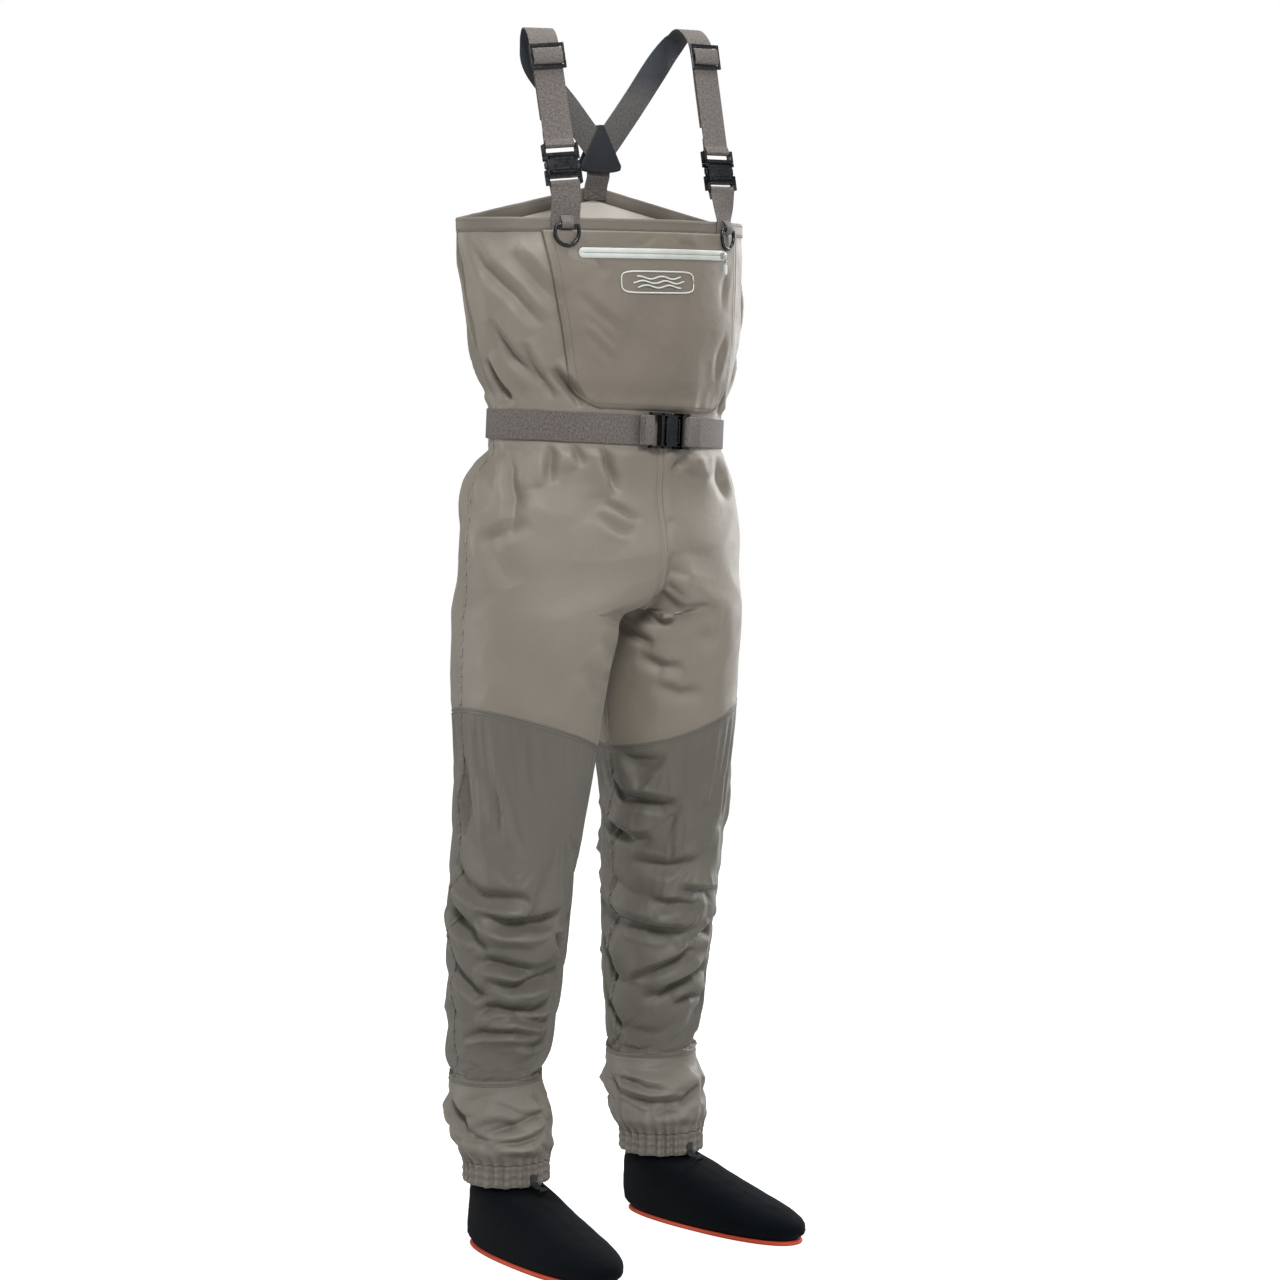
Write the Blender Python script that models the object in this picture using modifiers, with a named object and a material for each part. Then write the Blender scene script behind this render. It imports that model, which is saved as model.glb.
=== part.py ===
"""Stocking-foot chest waders with suspenders, belt, chest pocket, gravel guards and neoprene socks.

Metres, +Z up. The wearer faces -Y and their right hand is at -X. Everything is laid out in body
coordinates, whose Z axis runs up through the waist, and one empty shifts it all in Y so that the
origin ends up on the floor under the middle of the object's box.
"""

import bmesh
import bpy
from mathutils import Matrix, Vector
from math import acos, atan2, cos, hypot, pi, radians, sin, sqrt

# ---------------------------------------------------------------- driving dimensions
MM = 0.001
FABRIC = 2.0 * MM
NEOPRENE = 3.5 * MM
WEB = 1.4 * MM
GAP = 0.4 * MM
BODY_SHIFT_Y = 0.03477

WAIST_Z = 1.074
WAIST_ROLL = 0.055
BIB_FLARE_Z = 1.105
HEM_Z = 1.343
HEM_PEAK_RISE = 0.047
HEM_BAND = 0.018
SHIN_SEAM_Z = 0.225
CUFF_TOP_Z = 0.124
CUFF_HEIGHT = 0.031
CUFF_RADIUS = 0.0555
SOCK_TOP_Z = 0.195
SOLE_THICKNESS = 4.5 * MM

# Torso sections: height, half width, depth in front, depth behind, y of the side seam.
TORSO = [
    (1.040, 0.181, 0.112, 0.088, 0.000),
    (WAIST_Z, 0.181, 0.112, 0.088, 0.000),
    (BIB_FLARE_Z, 0.181, 0.112, 0.088, 0.000),
    (1.140, 0.195, 0.116, 0.079, 0.003),
    (1.200, 0.213, 0.117, 0.058, 0.007),
    (1.270, 0.225, 0.113, 0.036, 0.012),
    (1.343, 0.232, 0.106, 0.022, 0.015),
]
# One leg's sections: height, centre x, half width, depth in front, depth behind, centre y.
# Where centre x is less than the half width, the leg is cut off at the centre seam.
LEG = [
    (0.225, 0.1370, 0.0612, 0.0612, 0.0612, 0.0600),
    (0.324, 0.1350, 0.0690, 0.0690, 0.0690, 0.0560),
    (0.400, 0.1330, 0.0760, 0.0760, 0.0760, 0.0480),
    (0.470, 0.1310, 0.0825, 0.0825, 0.0825, 0.0400),
    (0.586, 0.1270, 0.0890, 0.0890, 0.0890, 0.0260),
    (0.655, 0.1230, 0.0945, 0.0950, 0.0950, 0.0180),
    (0.720, 0.1180, 0.0970, 0.0990, 0.1000, 0.0140),
    (0.800, 0.1090, 0.1030, 0.1090, 0.1120, 0.0100),
    (0.840, 0.1056, 0.1050, 0.1130, 0.1180, 0.0080),
    (0.858, 0.0780, 0.1330, 0.1170, 0.1230, 0.0060),
    (0.885, 0.0300, 0.1830, 0.1200, 0.1280, 0.0030),
    (0.920, 0.0000, 0.2150, 0.1200, 0.1340, 0.0000),
    (1.000, 0.0000, 0.2090, 0.1090, 0.1360, 0.0000),
    (1.026, 0.0000, 0.1960, 0.1110, 0.1180, 0.0000),
    (1.044, 0.0000, 0.1810, 0.1120, 0.0880, 0.0000),
    (WAIST_Z, 0.0000, 0.1810, 0.1120, 0.0880, 0.0000),
]
CROTCH_Z = 0.840
KNEE_SEAM_Z = 0.6875
KNEE_SEAM_TILT = 0.0325

# Gravel guard, height, radius and centre y, round a fixed centre x.
ANKLE_X = 0.1366
GUARD = [
    (0.1245, 0.0572, 0.0390),
    (0.142, 0.0630, 0.0430),
    (0.183, 0.0665, 0.0530),
    (0.2240, 0.0614, 0.0600),
]
CUFF_Y = 0.0385

# Sock slices in the foot's own frame: height, front, back, half width, heel taper.
FOOT_CENTRE = (0.151, -0.048)
TOE_OUT = radians(5)
ANKLE_SHIFT_X = -0.0085
SOCK = [
    (0.0050, -0.148, 0.143, 0.0455, 0.16),
    (0.014, -0.158, 0.151, 0.0520, 0.15),
    (0.028, -0.156, 0.153, 0.0535, 0.13),
    (0.040, -0.132, 0.152, 0.0520, 0.11),
    (0.052, -0.089, 0.149, 0.0500, 0.09),
    (0.064, -0.046, 0.146, 0.0480, 0.06),
    (0.077, -0.003, 0.142, 0.0465, 0.04),
    (0.089, 0.0385, 0.1360, 0.0435, 0.02),
    (0.122, 0.0390, 0.1345, 0.0450, 0.00),
    (0.150, 0.0405, 0.1330, 0.0465, 0.00),
    (SOCK_TOP_Z, 0.046, 0.1390, 0.0465, 0.00),
]

# Suspenders.
STRAP_WIDTH = 0.039
STRAP_X = {"right": 0.137, "left": 0.130}
STRAP_LEAN_X = 0.002
STRAP_HEM_Y = -0.0915
STRAP_TOP_Y = -0.048
STRAP_TOP_Z = 1.555
STRAP_YAW = {"right": radians(22), "left": radians(3)}
BUCKLE_UP = 0.068
SLIDER_UP = {"right": 0.206, "left": 0.220}
Y_PATCH_Z = 1.437

# Belt.
BELT_WIDTH = 0.038
BELT_BUCKLE_X = 0.004
BELT_OFFSET = 2.2 * MM
BELT_LOOP_X = 0.075

# Chest pocket and zip.
POCKET_OFFSET = 4.4 * MM
POCKET_TOP_Z = HEM_Z - HEM_BAND - GAP
POCKET_BOTTOM_Z = 1.0995
ZIP_Z = 1.299
ZIP_HALF = 0.128
ZIP_HEIGHT = 0.013
ZIP_START_X = 0.118

SIDES = {"right": -1, "left": 1}

# ---------------------------------------------------------------- scene, collections, materials
for item in list(bpy.data.objects):
    bpy.data.objects.remove(item, do_unlink=True)

parts = bpy.data.collections.new("chest_waders")
cutters = bpy.data.collections.new("cutters")
bpy.context.scene.collection.children.link(parts)
bpy.context.scene.collection.children.link(cutters)

body_origin = bpy.data.objects.new("body_origin", None)
body_origin.location = (0, BODY_SHIFT_Y, 0)
parts.objects.link(body_origin)


def material(name, colour, roughness, metallic=0.0):
    mat = bpy.data.materials.new(name)
    mat.use_nodes = True
    shader = mat.node_tree.nodes["Principled BSDF"]
    shader.inputs["Base Color"].default_value = (*colour, 1)
    shader.inputs["Roughness"].default_value = roughness
    shader.inputs["Metallic"].default_value = metallic
    return mat


SHELL_CLOTH = material("shell_cloth", (0.30, 0.27, 0.22), 0.55)
POCKET_CLOTH = material("pocket_cloth", (0.25, 0.215, 0.175), 0.55)
HEM_CLOTH = material("hem_cloth", (0.21, 0.185, 0.15), 0.6)
KNEE_CLOTH = material("knee_cloth", (0.17, 0.155, 0.13), 0.6)
GUARD_CLOTH = material("guard_cloth", (0.21, 0.20, 0.17), 0.6)
WEBBING = material("webbing", (0.17, 0.155, 0.145), 0.8)
PLASTIC = material("black_plastic", (0.02, 0.023, 0.027), 0.4)
PATCH_LEATHER = material("navy_patch", (0.025, 0.035, 0.05), 0.6)
SOCK_NEOPRENE = material("sock_neoprene", (0.01, 0.014, 0.022), 0.85)
SOLE_RUBBER = material("sole_rubber", (0.42, 0.08, 0.03), 0.7)
ZIP_TAPE = material("zip_tape", (0.55, 0.58, 0.55), 0.5)
ZIP_METAL = material("zip_metal", (0.6, 0.6, 0.6), 0.3, 1.0)
REFLECTIVE = material("reflective", (0.6, 0.62, 0.6), 0.35)


# ---------------------------------------------------------------- small tools
def gentle_slope(before, here, after, k):
    """Slope of value k at a station; level where the value turns round or stays the same."""
    if (here[k] - before[k]) * (after[k] - here[k]) <= 0:
        return 0.0
    return (after[k] - before[k]) / (after[0] - before[0])


def along(stations, height):
    """The values that follow the first in each station, read smoothly at this height."""
    low = 0
    while low < len(stations) - 2 and stations[low + 1][0] < height:
        low += 1
    before = stations[max(low - 1, 0)]
    start = stations[low]
    end = stations[low + 1]
    after = stations[min(low + 2, len(stations) - 1)]
    span = end[0] - start[0]
    t = min(max((height - start[0]) / span, 0.0), 1.0)
    values = []
    for k in range(1, len(start)):
        slope_in = gentle_slope(before, start, end, k) * span
        slope_out = gentle_slope(start, end, after, k) * span
        values.append(
            (2 * t**3 - 3 * t**2 + 1) * start[k]
            + (t**3 - 2 * t**2 + t) * slope_in
            + (3 * t**2 - 2 * t**3) * end[k]
            + (t**3 - t**2) * slope_out
        )
    return values


def steps(start, end, count):
    """count + 1 evenly spaced numbers from start to end."""
    return [start + (end - start) * i / count for i in range(count + 1)]


def smooth_path(points, per_span):
    """Catmull-Rom points through hand-placed ones, for routes that bend."""
    knots = [Vector(p) for p in points]
    path = []
    for i in range(len(knots) - 1):
        before = knots[max(i - 1, 0)]
        start = knots[i]
        end = knots[i + 1]
        after = knots[min(i + 2, len(knots) - 1)]
        for t in steps(0, 1, per_span)[:-1]:
            path.append(
                0.5
                * (
                    2 * start
                    + (end - before) * t
                    + (2 * before - 5 * start + 4 * end - after) * t**2
                    + (3 * start - before - 3 * end + after) * t**3
                )
            )
    path.append(knots[-1])
    return path


def add_part(name, mesh, mat, parent=None):
    part = bpy.data.objects.new(name, mesh)
    part.data.materials.append(mat)
    part.parent = parent or body_origin
    parts.objects.link(part)
    return part


def mesh_from(bm, smooth_angle=40):
    mesh = bpy.data.meshes.new("mesh")
    bm.to_mesh(mesh)
    bm.free()
    mesh.shade_smooth()
    mesh.set_sharp_from_angle(angle=radians(smooth_angle))
    return mesh


def face_grid(bm, rows, closed):
    """Faces between neighbouring rows of points, skipping those that collapse to a line."""
    verts = [[bm.verts.new(p) for p in row] for row in rows]
    columns = len(verts[0])
    for low, high in zip(verts, verts[1:]):
        for i in range(columns if closed else columns - 1):
            j = (i + 1) % columns
            bm.faces.new((low[i], low[j], high[j], high[i]))
    bmesh.ops.remove_doubles(bm, verts=bm.verts, dist=0.01 * MM)


def shell(name, rows, mat, thickness=FABRIC, closed=True, parent=None):
    """A cloth or neoprene wall: the rows give its outer face, and the wall grows inwards."""
    bm = bmesh.new()
    face_grid(bm, rows, closed)
    part = add_part(name, mesh_from(bm), mat, parent)
    wall = part.modifiers.new("wall", "SOLIDIFY")
    wall.thickness = thickness
    wall.offset = -1
    wall.use_even_offset = True
    return part


def ribbon(name, path, normals, width, mat, thickness=WEB, parent=None):
    """Flat webbing along a path; each normal points out of its face."""
    bm = bmesh.new()
    rings = []
    for i, point in enumerate(path):
        point = Vector(point)
        ahead = Vector(path[min(i + 1, len(path) - 1)]) - Vector(path[max(i - 1, 0)])
        across = ahead.cross(Vector(normals[i])).normalized() * width / 2
        up = across.cross(ahead).normalized() * thickness / 2
        corners = [point + across + up, point - across + up, point - across - up, point + across - up]
        rings.append([bm.verts.new(corner) for corner in corners])
    for start, end in zip(rings, rings[1:]):
        for i in range(4):
            j = (i + 1) % 4
            bm.faces.new((start[i], start[j], end[j], end[i]))
    bm.faces.new(reversed(rings[0]))
    bm.faces.new(rings[-1])
    bmesh.ops.recalc_face_normals(bm, faces=bm.faces)
    return add_part(name, mesh_from(bm), mat, parent)


def flat_loop(name, route, width, mat, parent, thickness=WEB):
    """Webbing whose route lies in its frame's YZ plane and whose width lies along X."""
    path = [Vector((0, y, z)) for y, z in route]
    normals = []
    for i in range(len(path)):
        ahead = path[min(i + 1, len(path) - 1)] - path[max(i - 1, 0)]
        normals.append(Vector((1, 0, 0)).cross(ahead))
    return ribbon(name, path, normals, width, mat, thickness, parent)


def half_turn(centre_y, centre_z, radius, start, end, count=6):
    """Route points on an arc in the YZ plane, angles in degrees from +Y towards +Z."""
    return [
        (centre_y + radius * cos(radians(a)), centre_z + radius * sin(radians(a)))
        for a in steps(start, end, count)
    ]


def box(low, high, name="box"):
    """A mesh box between two corners."""
    bm = bmesh.new()
    bmesh.ops.create_cube(bm, size=1)
    centre = (Vector(low) + Vector(high)) / 2
    size = Vector(high) - Vector(low)
    bmesh.ops.scale(bm, vec=size, verts=bm.verts)
    bmesh.ops.translate(bm, vec=centre, verts=bm.verts)
    mesh = bpy.data.meshes.new(name)
    bm.to_mesh(mesh)
    bm.free()
    return mesh


def prism(outline, low_y, high_y):
    """A flat outline in XZ, given counter-clockwise seen from -Y, extruded along Y."""
    bm = bmesh.new()
    face = bm.faces.new([bm.verts.new((x, low_y, z)) for x, z in outline])
    extruded = bmesh.ops.extrude_face_region(bm, geom=[face])
    moved = [v for v in extruded["geom"] if isinstance(v, bmesh.types.BMVert)]
    bmesh.ops.translate(bm, vec=(0, high_y - low_y, 0), verts=moved)
    bmesh.ops.recalc_face_normals(bm, faces=bm.faces)
    return mesh_from(bm)


def cut(part, low, high):
    """Takes a box out of a part."""
    cutter = bpy.data.objects.new(part.name + "_cutter", box(low, high))
    cutter.parent = part
    cutter.hide_render = True
    cutter.display_type = "WIRE"
    cutters.objects.link(cutter)
    boolean = part.modifiers.new("cut", "BOOLEAN")
    boolean.operation = "DIFFERENCE"
    boolean.object = cutter


def frame_empty(name, origin, x_axis, z_axis, parent=None):
    """An empty whose Z is exact and whose X is as near x_axis as it can be; -Y faces outwards."""
    z = Vector(z_axis).normalized()
    x = Vector(x_axis)
    x = (x - x.dot(z) * z).normalized()
    y = z.cross(x)
    empty = bpy.data.objects.new(name, None)
    empty.parent = parent or body_origin
    turn = Matrix((x, y, z)).transposed().to_4x4()
    empty.matrix_local = Matrix.Translation(Vector(origin)) @ turn
    parts.objects.link(empty)
    return empty


# ---------------------------------------------------------------- the body's surfaces
def waist_roll(x, z):
    """The waist sits higher on the wearer's right hip; the tilt fades out above and below it."""
    share = min(abs(z - WAIST_Z) / 0.16, 1.0)
    return -WAIST_ROLL * x * (1 - share**2) ** 2


def torso_point(height, angle, offset=0.0, z=None):
    """Angle 0 is the wearer's left seam, 90 degrees the back, -90 the front."""
    half_width, front, back, seam_y = along(TORSO, min(height, HEM_Z))
    depth = back - seam_y if sin(angle) > 0 else front + seam_y
    outward = Vector((cos(angle) / half_width, sin(angle) / depth, 0)).normalized()
    level = height if z is None else z
    point = Vector((half_width * cos(angle), seam_y + depth * sin(angle), level)) + outward * offset
    point.z += waist_roll(point.x, level)
    return point


def chest_point(x, z, offset=0.0):
    """The front of the bib at this x."""
    half_width = along(TORSO, z)[0]
    return torso_point(z, -acos(x / half_width), offset)


def chest_yaw(x, z):
    """How far the chest's outward normal turns from -Y towards +X, in radians."""
    step = chest_point(x + MM, z) - chest_point(x - MM, z)
    return atan2(step.y, step.x)


def leg_point(z, angle, side, offset=0.0, lift=0.0):
    """Angle 0 is the outer side, 90 degrees the back; cut off at the centre seam."""
    centre_x, half_width, front, back, centre_y = along(LEG, z)
    half_width += offset
    depth = (back if sin(angle) > 0 else front) + offset
    x = side * max(centre_x + half_width * cos(angle), GAP)
    return Vector((x, centre_y + depth * sin(angle), z + lift + waist_roll(x, z)))


def leg_row(z, side, columns, tilt=0.0, offset=0.0):
    """Points round one leg from the inner seam by the front to the inner seam by the back."""
    centre_x, half_width = along(LEG, z)[:2]
    reach = pi if z <= CROTCH_Z + 0.5 * MM else acos(max(-1.0, (GAP - centre_x) / half_width))
    row = []
    for angle in steps(-reach, reach, columns):
        row.append(leg_point(z, angle, side, offset, tilt * cos(angle)))
    return row if side > 0 else row[::-1]


# ---------------------------------------------------------------- shell panels
def hem_height(angle):
    """Top edge: level in front, rising in straight lines to a peak behind."""
    rise = HEM_PEAK_RISE * (1 - abs(cos(angle))) if sin(angle) > 0 else 0.0
    return HEM_Z + rise


def panel_rows(start, end, columns, bottom, heights):
    """Rows of the bib between two angles: upright behind the belt, then up to the hem band."""
    rows = [[torso_point(bottom, angle) for angle in steps(start, end, columns)]]
    for share in steps(0, 1, heights):
        row = []
        for angle in steps(start, end, columns):
            top = hem_height(angle) - HEM_BAND - GAP
            row.append(torso_point(BIB_FLARE_Z + (top - BIB_FLARE_Z) * share, angle))
        rows.append(row)
    return rows


def make_bib():
    bottom = WAIST_Z + GAP / 2
    corner = radians(1.7)
    shell("bib_front", panel_rows(-pi + corner, -corner, 22, bottom, 5), SHELL_CLOTH, closed=False)
    shell("bib_back", panel_rows(0, pi, 16, bottom, 5), SHELL_CLOTH, closed=False)


def make_hem():
    front = steps(-pi, 0, 22)[:-1]
    back = steps(0, pi, 16)[:-1]
    rows = []
    for below in (HEM_BAND, 0):
        row = []
        for angle in front + back:
            top = hem_height(angle)
            row.append(torso_point(min(top - below, HEM_Z), angle, 0.6 * MM, z=top - below))
        rows.append(row)
    shell("bib_hem", rows, HEM_CLOTH, thickness=3.0 * MM)


def make_trousers(side_name, side):
    rows = []
    knee_rows = [(KNEE_SEAM_Z + GAP / 2, KNEE_SEAM_TILT), (0.745, 0.016), (0.800, 0.0)]
    for z, tilt in knee_rows:
        rows.append(leg_row(z, side, 22, tilt))
    for z in (CROTCH_Z, 0.850, 0.862, 0.885, 0.920, 0.960, 1.000, 1.026, 1.044, WAIST_Z - GAP / 2):
        rows.append(leg_row(z, side, 22))
    shell(f"trouser_{side_name}", rows, SHELL_CLOTH, closed=False)


def ring_rows(heights, side, columns):
    """Closed rows round one leg; a height may carry the tilt of the knee seam."""
    rows = []
    for z, tilt in heights:
        row = leg_row(z, side, columns, tilt)
        rows.append(row[:-1])
    return rows


def make_shin(side_name, side):
    heights = [(SHIN_SEAM_Z + GAP / 2, 0), (0.270, 0), (0.324, 0), (0.400, 0), (0.470, 0)]
    heights += [(0.540, 0), (0.610, 0.012), (KNEE_SEAM_Z - GAP / 2, KNEE_SEAM_TILT)]
    shell(f"shin_panel_{side_name}", ring_rows(heights, side, 18), KNEE_CLOTH)


def round_row(centre_x, centre_y, radius, z, columns):
    return [
        Vector((centre_x + radius * cos(a), centre_y + radius * sin(a), z))
        for a in steps(0, 2 * pi, columns)[:-1]
    ]


def make_ankle(side_name, side):
    top = round_row(side * ANKLE_X, 0.0597, 0.0570, SHIN_SEAM_Z - GAP, 16)
    middle = round_row(side * ANKLE_X, 0.0540, 0.0510, 0.211, 16)
    bottom = round_row(side * ANKLE_X, 0.0450, 0.0480, SOCK_TOP_Z + 1.2 * MM, 16)
    shell(f"ankle_tube_{side_name}", [bottom, middle, top], KNEE_CLOTH)


def make_guard(side_name, side):
    rows = []
    for z in (GUARD[0][0], 0.131, 0.142, 0.161, 0.183, 0.204, GUARD[-1][0]):
        radius, centre_y = along(GUARD, z)
        rows.append(round_row(side * ANKLE_X, centre_y, radius, z, 18))
    shell(f"gravel_guard_{side_name}", rows, GUARD_CLOTH, thickness=1.6 * MM)


def make_cuff(side_name, side):
    top = CUFF_TOP_Z
    bottom = top - CUFF_HEIGHT
    rows = [
        round_row(side * ANKLE_X, CUFF_Y, CUFF_RADIUS - 0.8 * MM, bottom, 20),
        round_row(side * ANKLE_X, CUFF_Y, CUFF_RADIUS, bottom + 0.006, 20),
        round_row(side * ANKLE_X, CUFF_Y, CUFF_RADIUS, top - 0.006, 20),
        round_row(side * ANKLE_X, CUFF_Y, CUFF_RADIUS - 0.3 * MM, top, 20),
    ]
    shell(f"guard_cuff_{side_name}", rows, GUARD_CLOTH, thickness=3.0 * MM)


def make_lace_hook(side_name, side):
    """A small hook that grips the boot lace, sewn to the front of the cuff."""
    y = CUFF_Y - CUFF_RADIUS - GAP
    z = CUFF_TOP_Z - CUFF_HEIGHT
    route = [
        (y - 0.9 * MM, z + 0.016),
        (y - 1.0 * MM, z + 0.006),
        (y - 4.0 * MM, z + 0.001),
        (y - 12.0 * MM, z - 0.001),
        (y - 19.0 * MM, z + 0.001),
        (y - 21.5 * MM, z - 0.002),
        (y - 19.5 * MM, z - 0.005),
        (y - 15.0 * MM, z - 0.006),
    ]
    place = frame_empty(f"lace_hook_frame_{side_name}", (side * ANKLE_X, 0, 0), (1, 0, 0), (0, 0, 1))
    flat_loop(f"lace_hook_{side_name}", route, 0.011, PLASTIC, place, 1.6 * MM)


# ---------------------------------------------------------------- feet
def foot_outline(front, back, half_width, taper, z, columns, centre_x=0.0):
    """A rounded foot shape, narrower at the heel, counter-clockwise from above."""
    middle = (front + back) / 2
    half_length = (back - front) / 2
    row = []
    for angle in steps(0, 2 * pi, columns)[:-1]:
        c = cos(angle)
        s = sin(angle)
        x = half_width * abs(c) ** 0.86 * (1 if c > 0 else -1)
        along_foot = abs(s) ** 0.92 * (1 if s > 0 else -1)
        narrow = 1 - taper * (along_foot + 1) / 2
        row.append(Vector((centre_x + x * narrow, middle + half_length * along_foot, z)))
    return row


def foot_frame(side_name, side):
    turn = side * TOE_OUT
    x_axis = (cos(turn), sin(turn), 0)
    origin = (side * FOOT_CENTRE[0], FOOT_CENTRE[1], 0)
    return frame_empty(f"foot_frame_{side_name}", origin, x_axis, (0, 0, 1))


def make_foot(side_name, side):
    place = foot_frame(side_name, side)
    columns = 20
    rows = []
    floor = SOCK[0]
    centre = Vector((0, (floor[1] + floor[2]) / 2, floor[0]))
    rows.append([centre] * columns)
    for z, front, back, half_width, taper in SOCK:
        shift = side * ANKLE_SHIFT_X * min(z / 0.1, 1.0)
        rows.append(foot_outline(front, back, half_width, taper, z, columns, shift))
    shell(f"sock_{side_name}", rows, SOCK_NEOPRENE, thickness=NEOPRENE, parent=place)

    outline = foot_outline(-0.153, 0.147, 0.0485, 0.16, 0.0, 28)
    bm = bmesh.new()
    face = bm.faces.new([bm.verts.new(p) for p in outline])
    raised = bmesh.ops.extrude_face_region(bm, geom=[face])
    moved = [v for v in raised["geom"] if isinstance(v, bmesh.types.BMVert)]
    bmesh.ops.translate(bm, vec=(0, 0, SOLE_THICKNESS), verts=moved)
    bmesh.ops.recalc_face_normals(bm, faces=bm.faces)
    add_part(f"sole_{side_name}", mesh_from(bm), SOLE_RUBBER, place)


# ---------------------------------------------------------------- side-release buckles
# Buckle frame: Z is the way the male half leaves, -Y faces outwards, X runs across the webbing.
BUCKLE_DEPTH = 4.6 * MM
BAR_DEPTH = 1.6 * MM
BAR_HEIGHT = 3.0 * MM
MOUTH = 10.0 * MM
LOOP_RADIUS = hypot(BAR_DEPTH, BAR_HEIGHT / 2) + GAP + WEB / 2


def make_female(name, webbing, body, slot, place):
    """Hollow half: a flat sleeve open at the mouth, with a notch in each side and a webbing bar."""
    half = webbing / 2 + 4.0 * MM
    inner = webbing / 2 + 0.5 * MM
    floor = MOUTH - body
    bottom = floor - slot
    part = add_part(name, box((-half, -BUCKLE_DEPTH, bottom), (half, BUCKLE_DEPTH, MOUTH)), PLASTIC, place)
    cut(part, (-inner, -2.9 * MM, floor + 3.5 * MM), (inner, 2.9 * MM, MOUTH + 5 * MM))
    cut(part, (-half - 5 * MM, -2.4 * MM, floor + 9 * MM), (half + 5 * MM, 2.4 * MM, MOUTH + 5 * MM))
    cut(part, (-inner, -0.01, bottom + BAR_HEIGHT), (inner, 0.01, floor - 1.5 * MM))
    cut(part, (-inner, -0.01, bottom - 5 * MM), (inner, -BAR_DEPTH, bottom + BAR_HEIGHT + MM))
    cut(part, (-inner, BAR_DEPTH, bottom - 5 * MM), (inner, 0.01, bottom + BAR_HEIGHT + MM))
    return bottom


def make_male(name, webbing, base, place):
    """The half that pulls out: a frame with a webbing bar across its far end."""
    half = webbing / 2 + 4.0 * MM
    inner = webbing / 2 + 0.5 * MM
    low = MOUTH + GAP
    top = MOUTH + base
    part = add_part(name, box((-half, -BUCKLE_DEPTH, low), (half, BUCKLE_DEPTH, top)), PLASTIC, place)
    bar_low = top - BAR_HEIGHT
    cut(part, (-inner, -0.01, low + 4 * MM), (inner, 0.01, bar_low))
    cut(part, (-inner, -0.01, bar_low - MM), (inner, -BAR_DEPTH, top + 5 * MM))
    cut(part, (-inner, BAR_DEPTH, bar_low - MM), (inner, 0.01, top + 5 * MM))
    return top


def make_prong(name, webbing, direction, place):
    """A spring arm that hinges at the mouth, with the wing that a finger squeezes."""
    root_x = webbing / 2 - 6.5 * MM
    wing_x = webbing / 2 + 3.6 * MM - root_x
    outline = [
        (-2.2 * MM, -0.2 * MM),
        (-2.2 * MM, -17 * MM),
        (0.5 * MM, -19 * MM),
        (4.5 * MM, -17.5 * MM),
        (wing_x, -14.5 * MM),
        (wing_x, -7.0 * MM),
        (4.0 * MM, -4.5 * MM),
        (2.2 * MM, -0.2 * MM),
    ]
    if direction < 0:
        outline = [(-x, z) for x, z in reversed(outline)]
    part = add_part(name, prism(outline, -2.0 * MM, 2.0 * MM), PLASTIC, place)
    part.location = (direction * root_x, 0, MOUTH)
    return part


# ---------------------------------------------------------------- suspenders
def strap_axes(side_name):
    side = SIDES[side_name]
    hem = Vector((side * STRAP_X[side_name], STRAP_HEM_Y, HEM_Z))
    top = Vector((side * (STRAP_X[side_name] + STRAP_LEAN_X), STRAP_TOP_Y, STRAP_TOP_Z))
    run = (top - hem).normalized()
    yaw = STRAP_YAW[side_name]
    across = Vector((cos(yaw), -sin(yaw), 0))
    across = (across - across.dot(run) * run).normalized()
    return hem, run, across


def make_shoulder(side_name):
    side = SIDES[side_name]
    hem, run, across = strap_axes(side_name)
    buckle = frame_empty(f"buckle_frame_{side_name}", hem + run * BUCKLE_UP, across, run)
    bottom = make_female(f"shoulder_buckle_female_{side_name}", STRAP_WIDTH, 26 * MM, 10 * MM, buckle)
    top = make_male(f"shoulder_buckle_male_{side_name}", STRAP_WIDTH, 16 * MM, buckle)
    make_prong(f"shoulder_prong_outer_{side_name}", STRAP_WIDTH, side, buckle)
    make_prong(f"shoulder_prong_inner_{side_name}", STRAP_WIDTH, -side, buckle)

    bar_z = top - BAR_HEIGHT / 2
    slider_z = SLIDER_UP[side_name] - BUCKLE_UP
    route = [(-0.2 * MM, slider_z - 6 * MM), (-0.2 * MM, 0.080), (-0.2 * MM, bar_z + 0.012)]
    route += [(-1.6 * MM, bar_z + 0.006)]
    route += half_turn(0, bar_z, LOOP_RADIUS, 180, 360)
    route += [(1.7 * MM, bar_z + 0.006), (1.4 * MM, bar_z + 0.018)]
    flat_loop(f"strap_front_layer_{side_name}", route, STRAP_WIDTH, WEBBING, buckle)

    slider = frame_empty(f"slider_frame_{side_name}", hem + run * SLIDER_UP[side_name], across, run)
    make_slider(side_name, slider)
    make_strap(side_name, side, hem, run, across)
    make_anchor_webbing(side_name, side, hem, run, across, bottom + BAR_HEIGHT / 2)


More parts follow.
